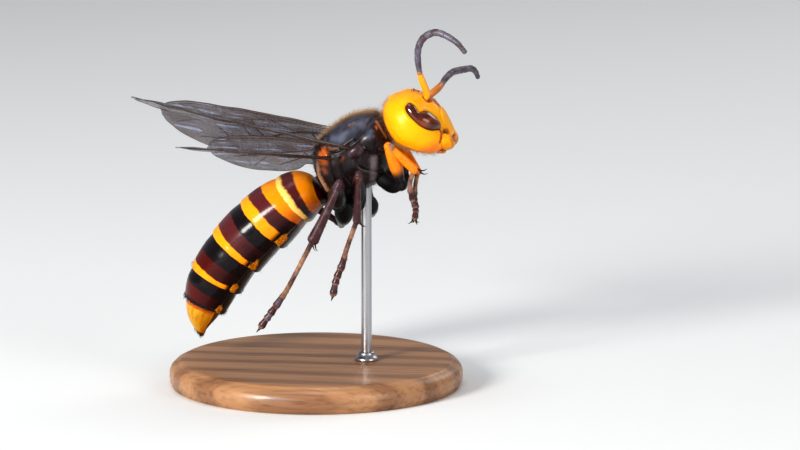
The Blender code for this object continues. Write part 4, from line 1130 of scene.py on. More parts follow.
def gaster_colour(f):
    """The bands of the six plates, with a wavering edge, darker towards the belly, with painted shade down
    the lower sides.
    """
    band = f.field("band") + f.wander(0.05, 1.7, 4.0) + f.wander(0.07, 0.55, 2.0)
    around = f.field("around")
    # Painted shade down the lower sides: purple and red go towards black there, and orange turns deeper and
    # browner.
    low = f.step(around + f.wander(0.12, 0.9), 0.36, 0.7)
    ruddy = f.noise(1.1) * 0.35 + low * 0.5
    grounds = {name: f.mix(low * 0.85, paint(name), paint("black")) for name in ("purple", "deep_red")}
    orange_low_shade = f.step(around + f.wander(0.1, 1.3), 0.46, 0.72) * 0.75
    warm = f.mix(ruddy + 0.3, paint("orange_yellow"), paint("orange"))
    grounds["orange"] = f.mix(orange_low_shade, warm, paint("brown"))
    grounds["orange_yellow"] = f.mix(ruddy * 0.6, paint("orange_yellow"), paint("orange"))
    grounds["brown"] = f.mix(f.noise(1.5) * 0.5, paint("brown"), paint("orange"))
    streaks = f.value("ShaderNodeTexNoise", None, {
        "Vector": f.node("ShaderNodeCombineXYZ", None, {0: around * 9.0, 1: f.field("share") * 1.2}),
        "Scale": 1.6, "Detail": 3.0})
    tail = f.mix(f.step(streaks, 0.46, 0.72) * 0.7, paint("tail_yellow"), paint("brown"))
    # The last plate turns brown towards the belly: painted shade.
    grounds["tail_yellow"] = f.mix(f.step(around + f.noise(0.8) * 0.3, 0.5, 0.95) * 0.7, tail, paint("brown"))
    colour = paint("black")
    for number, bands in enumerate(BANDS):
        for name, starts in bands:
            edge = number + starts[0]
            soft = PLATE_EDGE if starts[0] == 0.0 else BAND_EDGE
            ground = grounds.get(name) or paint(name)
            colour = f.mix(f.step(band, edge - soft, edge + soft), colour, ground)
    colour = f.mix(f.field("notch"), colour, paint("black"))
    spots = f.step(f.field("spot") + f.wander(1.5, 2.0, 5.0), 0.3, 0.7)
    dapple = f.mix(f.step(f.noise(4.5, 5.0), 0.35, 0.65), paint("brown"), paint("orange_yellow"))
    colour = f.mix(spots, colour, dapple)
    mottle = f.step(f.noise(2.4, 4.0), 0.45, 0.85) * 0.18
    colour = f.mix(mottle, colour, paint("deep_red"))
    belly = f.step(around + f.noise(1.2) * 0.1, BELLY_EDGE + 0.02, BELLY_EDGE + 0.1)
    return f.mix(belly * 0.75 * (1 - spots), colour, paint("black"))


def gaster_shell():
    f = Finish("gaster_shell", Coat_Weight=0.5, Coat_Roughness=0.17, Coat_IOR=1.38, Specular_IOR_Level=0.06)
    height = f.noise(6.0, 5.0) + f.step(f.cells(3.4), 0.02, 0.12) * 0.35
    rough = f.noise(3.0, 4.0) * 0.2 + 0.2
    return f.wear(colour=gaster_colour(f), roughness=rough, height=height, depth=0.022)


def gaster_coat():
    f = Finish("gaster_coat", Roughness=0.45)
    return f.wear(colour=f.mix(f.step(f.field("long"), 0.3, 0.7) * 0.85, gaster_colour(f), paint("hair")))


def leg_colour(f):
    """Purple-grey brown with a painted sheen, tan at joints and feet, orange on the front legs and black at
    the hips.
    """
    colour = f.mix(f.noise(1.5, 4.0) * 0.5, paint("leg_brown"), paint("deep_red"))
    colour = f.mix(f.step(f.noise(0.9, 3.0), 0.45, 0.75) * 0.12, colour, paint("bloom"))
    # Pale: the tan of joints and feet, and partly painted highlight at the knees and front shins.
    pale = f.step(f.field("pale") + f.wander(1.1, 3.0, 5.0), 0.25, 1.15)
    colour = f.mix(pale * 0.9, colour, paint("tan"))
    ruddy = f.mix(f.noise(1.2) * 0.6, paint("orange"), paint("orange_yellow"))
    colour = f.marked(colour, "ruddy", 2.5, 0.25, 0.35, 0.85, ruddy)
    # Black: the hips' own colour, and on the mid and hind thighs partly painted shade.
    return f.marked(colour, "dark", 2.5, 0.2, 0.4, 0.8, paint("black"))


def leg_shell():
    """Satin shell, matt at the hips."""
    f = Finish("leg_shell", Coat_Roughness=0.18, Coat_IOR=1.38, Specular_IOR_Level=0.2)
    hip = f.step(f.field("dark"), 0.75, 1.05)
    height = f.noise(8.0, 4.0) + f.step(f.cells(5.0), 0.05, 0.3) * 0.5
    return f.wear(colour=leg_colour(f), roughness=f.noise(5.0) * 0.22 + 0.24 + hip * 0.3, height=height,
                  depth=0.025, coat=0.35 - hip * 0.32)


def leg_coat():
    f = Finish("leg_coat", Roughness=0.45)
    return f.wear(colour=f.mix((1 - f.field("dark")) * 0.55, leg_colour(f), paint("hair")))


def wing_finish():
    """Smoky membrane with a bluish glint along its folds, and dark veins."""
    f = Finish("wing_membrane", Coat_Weight=0.5, Coat_Roughness=0.1)
    vein = f.field("vein")
    clear = 1 - f.step(vein, 0.0, 0.5)
    folds = f.noise(1.0, 4.0, (0.07, 2.4, 1.0))
    # Painted glint: bluish lines along the folds and specks over the membrane, mixed into its colour.
    lines = f.step(folds, 0.5, 0.66) * f.step(f.noise(0.35, 3.0), 0.35, 0.62)
    glint_specks = f.step(f.noise(8.0, 3.0), 0.48, 0.66) * f.step(f.noise(0.3, 2.0, (1.0, 1.6, 1.0)), 0.42, 0.6)
    glint = lines + glint_specks * 0.8
    tint = f.mix(f.step(f.noise(0.45, 3.0), 0.35, 0.7) * 0.6, paint("wing_brown"), paint("vein"))
    tint = f.mix(f.step(glint, 0.0, 1.0) * 0.6, tint, paint("bloom"))
    height = folds * 1.4 + f.noise(4.0, 5.0, (0.6, 1.0, 1.0)) * 0.8
    smoke = f.noise(0.7, 3.0) * 0.25 + f.field("smoke") * 0.2
    alpha = (1 - clear) + (smoke + f.step(glint, 0.0, 1.0) * 0.15 + 0.45) * clear
    return f.wear(colour=f.mix(vein, tint, paint("vein")), roughness=f.noise(4.0) * 0.2 + 0.18,
                  height=height * clear, depth=0.05, alpha=alpha)


def wood_finish():
    """Oiled wood with long dark grain lines across the disc."""
    f = Finish("turned_wood", Coat_Weight=0.2, Coat_Roughness=0.25)
    rings = f.value("ShaderNodeTexWave", {"wave_type": "BANDS", "bands_direction": "Y"},
                    {"Vector": f.place((0.12, 1.0, 1.0)), "Scale": 0.06, "Distortion": 5.0, "Detail": 3.0,
                     "Detail Scale": 1.4})
    fibre = f.noise(2.2, 5.0, (0.06, 1.0, 1.0))
    grain = f.step(rings, 0.25, 1.0) * 0.55 + f.step(fibre, 0.45, 0.75) * 0.45
    colour = f.mix(grain, paint("wood"), WOOD_LINES)
    return f.wear(colour=colour, roughness=fibre * 0.2 + 0.32, height=fibre + rings * 0.3, depth=0.04)


def steel_finish():
    """Steel brushed along the rod."""
    f = Finish("brushed_steel", Metallic=1.0)
    brushed = f.noise(6.0, 4.0, (1.0, 1.0, 0.05))
    return f.wear(colour=f.mix(brushed * 0.3, paint("steel"), STEEL_LINES),
                  roughness=brushed * 0.2 + 0.2, height=brushed, depth=0.01)


def floor_finish():
    f = Finish("studio_floor", Roughness=0.85)
    return f.wear(colour=f.mix(f.noise(0.01) * 0.05, paint("floor"), FLOOR_CLOUDS))


MADE = {}


def material(finish):
    """The material of a finish, made the first time that a piece asks for it."""
    if finish not in MADE:
        MADE[finish] = finish()
    return MADE[finish]


# Head

def eye_edges():
    """The eye's rear and front edge from top to bottom, on the head's chart, out of one smooth line."""
    rear, front, ends = (HEAD.chart(edge) for edge in (EYE_REAR, EYE_FRONT, EYE_ENDS))
    corners = np.vstack([ends[:1], rear, ends[1:], front[::-1]])
    wrapped = np.vstack([corners[-3:], corners, corners[:3]])
    line = even(HEAD.at(smooth(wrapped, np.linspace(3, len(corners) + 3, 400)[:-1])), EYE_STEPS)
    waves = np.fft.fftfreq(EYE_STEPS)[:, None] * EYE_STEPS
    line = np.fft.ifft(np.fft.fft(line, axis=0) * np.exp(-(waves / EYE_ROUNDING) ** 2), axis=0).real
    long_way = np.linalg.svd(line - line.mean(0), full_matrices=False)[2][0]
    reach = (line - line.mean(0)) @ long_way * np.sign(long_way[0])
    top, bottom = reach.argmin(), reach.argmax()
    picks = np.round(EYE_SPOTS * (2 * EYE_ROWS - 1)).astype(int)
    edges = []
    for step in (1, -1):
        count = (step * (bottom - top)) % EYE_STEPS
        run = line[(top + step * np.arange(count + 1)) % EYE_STEPS]
        edges.append(HEAD.chart(even(run, 2 * EYE_ROWS)[picks]))
    return sorted(edges, key=lambda edge: HEAD.at(edge[EYE_ROWS // 2])[2])


def head_relief(left, spots, angles):
    """How far the head's skin rises from its plain form: face plate, sockets, furrows and eye pits.

    Returns it with the distance to the eye's edge, what lies inside that edge, the shade in the
    feeler's socket and the distance to the ocelli.
    """
    down, side, front = np.moveaxis(left, -1, 0)
    cover = np.exp(-(side / FACE_HALF) ** 4) * soft_step(down, -3.1, -2.1) * soft_step(front, 0.9, 1.6)
    relief = np.maximum(np.interp(down, *FACE_LINE) - front, 0.0) * cover
    lens = 1 - np.abs((down - CLYPEUS_AT) / CLYPEUS_HALF) ** 2.6
    lens -= np.abs(side / np.interp(down, *CLYPEUS_WIDTHS)) ** 2.6
    relief += (front > 0.5) * (CLYPEUS_RISE * soft_step(lens, 0.0, 0.35) - 0.09 * hump(lens, 0.16))

    rear, fore = eye_edges()
    outline = np.vstack([rear, fore[::-1]])
    edge = HEAD.at(outline)
    gap = gap_to(left, np.vstack([edge, edge[:1]]), 1.2)
    inner = inside_line(from_top(angles), spots, outline[:, ::-1])
    relief = np.where(inner, -0.4 * soft_step(gap, 0.0, 0.14) - 0.05, relief - 0.06 * hump(gap, 0.1)
                      + 0.035 * hump(gap - 0.3, 0.15))

    ring = np.linalg.norm(left - HEAD.on(SOCKET_AT), axis=-1)
    relief += -0.3 * np.exp(-(ring / 0.5) ** 4) + 0.04 * hump(ring - 0.68, 0.2)
    for depth, width, points in HEAD_SEAMS:
        relief -= depth * hump(gap_to(left, HEAD.line(points), 4 * width), width)
    ocelli = np.linalg.norm(left - HEAD.on(OCELLI_AT), axis=-1)
    relief += 0.06 * hump(ocelli, 0.5)
    return relief, gap, inner, np.exp(-(ring / 0.62) ** 6), ocelli


def head_fields(left, around, gap, inner, socket_shade, ocelli):
    """Where the head turns orange, brown and black, partly as painted shade."""
    down, side, front = np.moveaxis(left, -1, 0)
    # Orange towards the underside, the nape and the lower cheek: partly the head's own orange, partly painted
    # shade.
    cheek = 0.6 * soft_step(down, 1.8, 3.9) * soft_step(around, 0.2, 0.55)
    ruddy = 1.1 * soft_step(around, 0.7, 0.94) + cheek
    ruddy += 0.25 * soft_step(down, 0.0, 3.0)
    # The brown patch on the frons is painted shade.
    patch_half = 0.95 - 0.3 * soft_step(down, -1.2, 0.0)
    patch = np.exp(-np.abs((down + 0.75) / 0.85) ** 3 - np.abs(side / patch_half) ** 3)
    joint = np.linalg.norm(left - JAW_JOINT, axis=-1)
    crease = gap_to(left, HEAD.line(JAW_CREASE), 1.0)
    brown = 0.95 * patch * (front > 1.0) + 0.9 * socket_shade
    brown += 0.8 * hump(ocelli, 0.45) * (front > -0.5)
    # Brown at the very underside and along the crease beside the jaw is painted shade; the spot at the jaw's
    # joint is the joint's own dark.
    for shade in (0.6 * soft_step(around, 0.9, 1.0), 1.1 * hump(joint, 0.5), 0.85 * hump(crease, 0.22)):
        brown = np.maximum(brown, shade)
    # Black inside the eye's outline and in a thin line round it is painted shade in the eye's pit and groove;
    # mouth_edge paints shade along the face's lower edge over the mouth.
    dark = 1.1 * inner + 0.85 * hump(gap, 0.045) * ~inner
    mouth_edge = 0.9 * soft_step(down, 3.35, 3.7) * (1 - soft_step(side, 1.2, 1.9))
    for shade in (0.62 * hump(joint, 0.42), mouth_edge):
        dark = np.maximum(dark, shade)
    return {"ruddy": ruddy, "brown": brown, "dark": dark, "around": around}


def build_head():
    """The head's skin with its face plate, its ocelli and the mouthparts under it."""
    turn = np.linspace(-1, 1, HEAD_GRID[0])
    places = (len(HEAD_RINGS) - 1) * (0.5 + 0.5 * np.sin(turn * math.pi / 2) * 0.35 + 0.5 * turn * 0.65)
    spots, angles, local = HEAD.grid(places, HEAD_GRID[1])
    left = left_side(local)
    relief, *found = head_relief(left, spots, angles)
    fields = head_fields(left, from_top(angles) / math.pi, *found)
    form = keep_form("head")
    form.tube(HEAD.place(raised(local, relief)), place=padded(local),
              **{key: padded(value) for key, value in fields.items()})
    form.make("head_shell", head_shell, "yellow_shell", "head", "clypeus")

    beads = Form()
    for *spot, radius in OCELLI:
        grid = ball_grid(HEAD.on(spot) - (0.0, 0.0, 0.02), (radius,) * 3, 14, 20)
        beads.tube(HEAD.place(grid))
    beads.make("ocelli", ocellus_finish, "eye")

    # The field shade paints shade on the mouthparts under the head.
    mouth = Form()
    for sign in SIDES.values():
        for path, radius in PALPS:
            path = HEAD.place(np.array(path) * (1, sign, 1))
            for start, end in zip(path, path[1:]):
                rows = limb_rows((start, (start + end) / 2, end), (radius, radius * 1.2, radius), 7)
                add_limb(mouth, rows, 12, ruddy=(0.6, 0.9), pale=0.5, shade=0.4)
    for path, radii, count, flat, ruddy, shade in LIPS:
        rows = limb_rows(HEAD.place(path), radii, count, flat)
        add_limb(mouth, rows, 32, LEFT, ruddy=ruddy, shade=shade)
    mouth.make("mouthparts", feeler_finish, "orange_shell")


def build_eyes():
    """The two kidney-shaped compound eyes, domed over the pits in the head."""
    rear, front = eye_edges()
    across = 0.5 - 0.5 * np.cos(np.linspace(0, math.pi, 41))
    chart = rear[:, None] * (1 - across[None, :, None]) + front[:, None] * across[None, :, None]
    surface = HEAD.at(chart)
    normals = HEAD.normal(chart)
    normals = normals * np.sign(normals[..., 1:2] * surface[..., 1:2])
    width = np.linalg.norm(np.diff(surface, axis=1), axis=-1).sum(1)
    bulge = size("eye_bulge") * (width / width.max()) ** 0.8
    dome = (4 * across * (1 - across)) ** 0.95
    outer = surface + normals * (bulge[:, None] * dome[None] - 0.03)[..., None]
    inner = (surface - normals * 0.45)[:, ::-5]
    rim = np.concatenate([np.repeat((1 - dome)[None], len(outer), axis=0), np.ones(inner.shape[:2])], axis=1)
    loops = np.concatenate([outer, inner], axis=1)
    for letter, sign in SIDES.items():
        form = Form()
        turned = loops * (1, sign, 1)
        form.tube(HEAD.place(turned), place=turned, rim=rim)
        form.make("compound_eye_" + letter, eye_finish, "eye", "eye_" + letter)


def build_jaws():
    """The jaws: stout at the cheek, crossing under the face plate, with dark teeth at their ends."""
    ahead = HEAD.place((0.0, 0.0, 1.0)) - HEAD.place((0.0, 0.0, 0.0))
    for letter, sign in SIDES.items():
        form = Form()
        rows = limb_rows(HEAD.place(np.array(JAW_PATH) * (1, sign, 1)), JAW_RADII, 60, 0.78)
        add_limb(form, rows, 48, ahead, dark=(0.5, 0.0, 0.0, 0.0, 0.0, 0.2, 0.6))
        for down, across, reach in JAW_TEETH:
            root = np.array((down - 0.15, across * sign, 1.55))
            tip = np.array((down + 0.3, (across - 0.3) * sign, 1.35 + reach * 0.35))
            tooth = HEAD.place((root, (root + tip) / 2, tip))
            add_limb(form, limb_rows(tooth, TOOTH_RADII, 12, 0.8), 16, ahead, dark=(0.8, 1.0))
        form.make("jaw_" + letter, jaw_finish, "orange_shell", "mandible_" + letter)


def build_feelers():
    """The elbowed feelers: a long first joint, a bead, and ten short joints to the tip."""
    for letter, paths in FEELERS.items():
        form = keep_form("feeler_" + letter)
        # The far feeler is painted in shade: its first joint less orange and browner.
        shade = 1.0 if letter == "R" else 0.55
        add_limb(form, limb_rows(paths["scape"], SCAPE_RADII, 50, 0.85), 28, pale=0.3, shade=1 - shade,
                 ruddy=(0.55 * shade, 1.1 * shade, 1.1 * shade, 1.1 * shade, 0.8 * shade))
        fine = through(paths["lash"], 400)
        last = np.array(paths["scape"][-1])
        elbow = (last, (last + fine[12]) / 2, fine[12])
        add_limb(form, limb_rows(elbow, ELBOW_RADII, 10), 20, ruddy=0.4 * shade, pale=0.3)
        steps = np.concatenate([[0.02], np.linspace(0.17, 1.0, LASH_JOINTS)])
        swell = 0.9 + 0.14 * np.sin(np.linspace(0.15, math.pi * 0.62, 14))
        for start, end in zip(steps, steps[1:]):
            spots = np.linspace(start + 0.002, end - 0.002, 14)
            radius = read(LASH_RADII, spots) * swell
            rows = np.column_stack([pick(fine, spots), radius, radius * 0.95])
            add_limb(form, rows, 22, pale=(0.3, 0.05, 0.0, 0.0, 0.0))
        form.make("feeler_" + letter, feeler_finish, "feeler",
                  *(f"antenna_{letter}_{part}" for part in ("scape", "base", "tip")))


# Thorax

def build_thorax():
    """The thorax in one skin, its plates parted by furrows, with the marks and the painted sheen as fields.
    """
    places = (len(THORAX_RINGS) - 1) * np.linspace(0, 1, THORAX_GRID[0])
    local = THORAX.grid(places, THORAX_GRID[1])[2]
    left = left_side(local)
    relief = np.zeros(local.shape[:2])
    for depth, width, points in THORAX_SEAMS:
        gap = gap_to(left, THORAX.line(points), 6 * width)
        relief -= depth * hump(gap, width)
        relief += 0.25 * depth * hump(gap - 2.4 * width, 1.4 * width)
    for height, radius, middle in THORAX_SWELLS:
        relief += height * hump(np.linalg.norm(left - THORAX.on(middle), axis=-1), radius)
    fields = {name: np.zeros_like(relief) for name in ("orange", "tan", "grey", "sheen", "dark")}
    for name, strength, radius, points in THORAX_MARKS:
        gap = gap_to(left, THORAX.line(points), 4 * radius)
        fields[name] = np.maximum(fields[name], strength * hump(gap, radius))
    length, side, height = np.moveaxis(left, -1, 0)
    # Painted sheen: the grey-blue reflection of the sky on the upper back.
    fields["bloom"] = soft_step(height, 0.9, 2.4) * soft_step(length, -1.6, -0.4)
    fields["crest"] = 1 - soft_step(side, 0.2, 2.3)
    fields["back"] = soft_step(height, 2.2, 3.2)
    form = keep_form("thorax")
    form.tube(THORAX.place(raised(local, relief)), place=padded(local),
              **{key: padded(value) for key, value in fields.items()})
    add_limb(form, limb_rows(THORAX.place(NECK_PATH), NECK_RADII, 16), 32)
    form.make("thorax_shell", thorax_shell, "dark_shell", "thorax", "pronotum", "scutellum", "propodeum")

    pitch = np.array(Matrix.Rotation(-THORAX_PITCH, 3, "Y"))
    for letter, sign in SIDES.items():
        grid = ball_grid((0, 0, 0), TEGULA_SIZE, 40, 56, 2.2)
        edge = np.abs(grid[..., 1]) / TEGULA_SIZE[1]
        grid[..., 1] += 0.1 * hump(edge - 0.35, 0.12) - 0.08 * hump(edge - 0.12, 0.1)
        grid = grid * (1.0 - 0.06 * hump(edge - 0.45, 0.08))[..., None]
        scale = Form()
        scale.tube((grid * (1, sign, 1)) @ pitch.T + np.array(TEGULA_AT) * (1, sign, 1),
                   dark=0.5 + 0.2 * hump(edge - 0.2, 0.15))
        scale.make("wing_scale_" + letter, leg_shell, "dark_shell", "tegula_" + letter)


# Gaster

def rim_at(number, around):
    """The ring place of a plate's rim, which curves forward down the sides."""
    if number == 0:
        return np.zeros_like(around)
    start, end = PLATE_ENDS[number - 1], PLATE_ENDS[number]
    return start + (end - start) * np.interp(around, RIM_PLACES, RIMS[number])


def band_place(number, share, around):
    """A plate's number and share, with the share moved so that its bands start as at the back."""
    knots = [starts for _, starts in BANDS[number]]
    moved = np.zeros_like(share)
    rows = [np.interp(around, BAND_SIDES, starts) for starts in knots] + [np.ones_like(around)]
    backs = [starts[0] for starts in knots] + [1.0]
    for low, high, low_back, high_back in zip(rows, rows[1:], backs, backs[1:]):
        part = np.clip((share - low) / np.maximum(high - low, 1e-6), 0, 1)
        moved = np.where(share >= low, low_back + part * (high_back - low_back), moved)
    return number + np.minimum(moved, 0.999)


def build_gaster():
    """The gaster in one skin: six ringed plates, each rim standing over the next, and the waist."""
    angles = np.linspace(0, math.tau, GASTER_COLUMNS, endpoint=False)
    around = from_top(angles) / math.pi
    share = np.concatenate([[0.0, 0.012, 0.03], np.linspace(0.05, 0.95, 44), [0.965, 0.98, 0.99, 1.0]])
    spots, bands = [], []
    for number in range(PLATES):
        start, end = rim_at(number, around), rim_at(number + 1, around)
        spots.append(start + (end - start) * share[:, None])
        bands.append(band_place(number, *np.broadcast_arrays(share[:, None], around)))
    spots = np.vstack(spots)
    shares = np.tile(share, PLATES)[:, None]
    numbers = np.repeat(np.arange(PLATES), len(share))[:, None]
    arounds = np.broadcast_to(around, spots.shape)
    local = GASTER.surface(spots, np.broadcast_to(angles, spots.shape))

    ringed = numbers < PLATES - 1
    rim = 0.03 * hump(shares - 0.93, 0.04) - 0.05 * soft_step(shares, 0.975, 1.0)
    relief = np.where(numbers == 0, 0.0, -size("rim_step") * (1 - soft_step(shares, 0.0, 0.3)))
    relief = relief + np.where(ringed, rim, 0)
    belly = soft_step(arounds, BELLY_EDGE - 0.008, BELLY_EDGE + 0.008) * soft_step(spots, 0.8, 2.5)
    relief = relief - belly * (0.2 - 0.26 * soft_step(shares, 0.1, 0.95) * ringed)
    relief = relief + 0.05 * hump(arounds - BELLY_EDGE + 0.02, 0.012)
    shaped = local + grid_normals(local) * relief[..., None]
    middle = ringed & (numbers > 0)
    notch = middle * soft_step(arounds, 0.63, 0.69) * soft_step(shares, 0.4, 0.6)
    spot = middle * hump(arounds - 0.765, 0.055) * hump(shares - 0.85, 0.24)
    form = keep_form("gaster")
    form.tube(shaped, notch=notch, spot=spot, band=np.vstack(bands), around=arounds, share=shares,
              plate=numbers.astype(float))
    add_limb(form, limb_rows(PETIOLE_PATH, PETIOLE_RADII, 24), 32, band=0.05)
    form.make("gaster_shell", gaster_shell, "banded_shell", "petiole",
              *(f"gaster_{number}" for number in range(1, PLATES + 1)))


# Legs

def hook(form, root, way, out, reach, radius, **fields):
    """A curved claw or spur from a root, along way and turning out."""
    points = [root - way * radius, root + way * reach * 0.35 + out * reach * 0.1,
              root + way * reach * 0.7 + out * reach * 0.38, root + way * reach * 0.85 + out * reach * 0.8]
    add_limb(form, limb_rows(points, (radius, radius * 0.8, radius * 0.5, radius * 0.12), 14), 12, **fields)


def add_foot(form, kind, fine):
    """A foot of five joints along a fine line, with two claws and the pad between them."""
    tones = LEG_TONES[kind]["tarsus"]
    front = kind == "front"
    start = 0.0
    for number, share in enumerate(TARSUS_SHARES):
        spots = np.linspace(start + 0.004, start + share - 0.004, 18)
        flare = read_smooth(FOOT_FLARES[min(number, 1)], 18)
        pale = read(FOOT_PALE, np.linspace(0, 1, 9)) * tones["pale"]
        if number > 0:
            flare = flare * (0.8 if front else 1.0)
            pale = np.array(TOE_PALE) * (1.3 if front else 1.0)
        rows = np.column_stack([pick(fine, spots), TARSUS_RADIUS * flare, TARSUS_RADIUS * flare * 0.8])
        add_limb(form, rows, 22, **{**tones, "pale": pale})
        start += share
    end, way = fine[-1], unit(fine[-1] - fine[-30])
    across = unit(np.cross(way, UP))
    for side in (across, -across):
        hook(form, end + side * 0.14, way, side, 0.75, 0.13, dark=(0.4, 0.9), pale=0.3)
    pad = (end - way * 0.1, end + way * 0.12, end + way * 0.25)
    add_limb(form, limb_rows(pad, (0.15, 0.2, 0.16), 8, 0.6), 14, pale=0.9)


def build_legs():
    """Six legs: hip, ring, thigh, shin with spurs, a five-jointed foot and two claws."""
    for name, joints in LEG_JOINTS.items():
        kind = name.split("_")[0]
        tones = LEG_TONES[kind]
        form = keep_form("leg_" + name)
        for part, (count, columns, flat) in LEG_PARTS.items():
            rows = limb_rows(joints[part], LEG_RADII[part][kind], count, flat)
            add_limb(form, rows, columns, **tones[part])
        ring = (joints["coxa"][-1], joints["femur"][0], through(joints["femur"], 20)[3])
        add_limb(form, limb_rows(ring, (0.5, 0.58, 0.4), 12), 28, dark=0.9)
        knee, below = np.array(joints["tibia"][:2])
        shin = unit(below - knee)
        rows = limb_rows((knee, knee + shin * 0.4, knee + shin * 0.7), (0.4, 0.44, 0.34), 8)
        add_limb(form, rows, 24, **tones["knee"])
        fine = through(joints["tarsus"], 401)
        add_foot(form, kind, fine)
        above, ankle = np.array(joints["tibia"][-2:])
        shin = unit(ankle - above)
        foot = fine[60] - ankle
        away = unit(shin * (foot @ shin) - foot)
        spread = np.cross(shin, away) * 0.22
        for shift in ((spread,) if kind == "front" else (spread, -spread)):
            hook(form, ankle + away * 0.3 + shift, shin, away, 1.0, 0.12, dark=0.7)
        form.make("leg_" + name, leg_shell, "leg",
                  *(f"leg_{name}_{part}" for part in (*LEG_PARTS, "tarsus")))


# Wings

def wing_height(x, y):
    """How far the wing stands off its plane: its camber, its pleats and the waves of its outer edge."""
    outer = soft_step(x, 3.0, 14.0)
    pleat = 0.05 * np.sin(y * 3.4 + x * 0.3) * soft_step(x, 1.0, 6.0)
    wave = 0.05 * outer * (np.sin(x * 0.9 + y * 0.5) + 0.5 * np.sin(x * 1.7 - y * 1.3 + 2.0))
    return -WING_CAMBER * (y - WING_BOW_AT) ** 2 + pleat + wave


class WingPlane:
    """A wing's own plane: length from the hinge along it, and height towards its leading side."""

    def __init__(self, hinge, tip, lead):
        self.hinge = np.array(hinge)
        self.span = unit(np.array(tip) - self.hinge)
        lead = np.array(lead)
        self.lead = unit(lead - self.span * (lead @ self.span))
        self.normal = np.cross(self.span, self.lead)

    def place(self, x, y, lift=0.0):
        """Points of the wing on the body, lifted off the middle of its membrane."""
        height = wing_height(x, y) + lift
        return (self.hinge + np.asarray(x)[..., None] * self.span + np.asarray(y)[..., None] * self.lead
                + height[..., None] * self.normal)

    def rib(self, form, line, radius, flat, columns, side, vein):
        """Adds a limb along a line in the plane."""
        middle = self.place(line[:, 0], line[:, 1])
        add_limb(form, np.column_stack([middle, radius, radius * flat]), columns, side, vein=vein)


def build_wings():
    """Four clear brown wings: a thin pleated membrane and the veins that stand out on both faces."""
    for name, shape in WINGS.items():
        fore = name.startswith("fore")
        lead_edge, trail_edge, veins = ((FOREWING_LEAD, FOREWING_TRAIL, FOREWING_VEINS) if fore
                                        else (HINDWING_LEAD, HINDWING_TRAIL, HINDWING_VEINS))
        plane = WingPlane(**shape)
        front, back = through(lead_edge, 200), through(trail_edge, 200)
        root, tip = front[0, 0], front[-1, 0]
        share = 1 - (1 - np.linspace(0, 0.9995, 170)) ** 1.7
        x = root + (tip - root) * share
        high, low = (np.interp(x, *edge.T) for edge in (front, back))
        across = np.linspace(0, 1, 56)[None]
        wide_x = np.repeat(x[:, None], 56, axis=1)
        y = low[:, None] + (high - low)[:, None] * across
        half = size("membrane") / 2
        loops = np.concatenate([plane.place(wide_x, y, half), plane.place(wide_x, y, -half)[:, ::-1]], axis=1)
        spot = np.stack([wide_x, y, np.zeros_like(y)], -1)
        smoke = np.concatenate([across, across[:, ::-1]], axis=1).repeat(len(x), axis=0)
        form = keep_form(name)
        form.tube(loops, place=np.concatenate([spot, spot[:, ::-1]], axis=1), smoke=smoke, vein=0.0)

        # Each line with its thickness at the root and towards the tip, as shares of the vein radius.
        lines = [(vein, (1.4, 0.55) if number < 2 else (0.7, 0.42)) for number, vein in enumerate(veins)]
        lines += [(front[4:-6:14], (1.4, 0.55)), (back[4:-4:14], (0.45, 0.3))]
        for vein, thickness in lines:
            count = max(12, int(5 * np.linalg.norm(np.diff(vein, axis=0), axis=1).sum()))
            line = through(vein, count)
            radius = size("vein_radius") * np.interp(line[:, 0], (0, 0.75 * tip), thickness)
            plane.rib(form, line, radius, 1.05, 10, plane.normal, 1.0)
        if fore:
            plane.rib(form, through(STIGMA, 16), read_smooth(STIGMA_RADII, 16), 0.35, 16, plane.lead, 0.8)
        plane.rib(form, through(WING_ROOT, 12), read_smooth(WING_ROOT_RADII, 12), 0.7, 20, plane.lead, 1.0)
        form.make("wing_" + name.replace("wing", ""), wing_finish, "wing", name)


# Coat

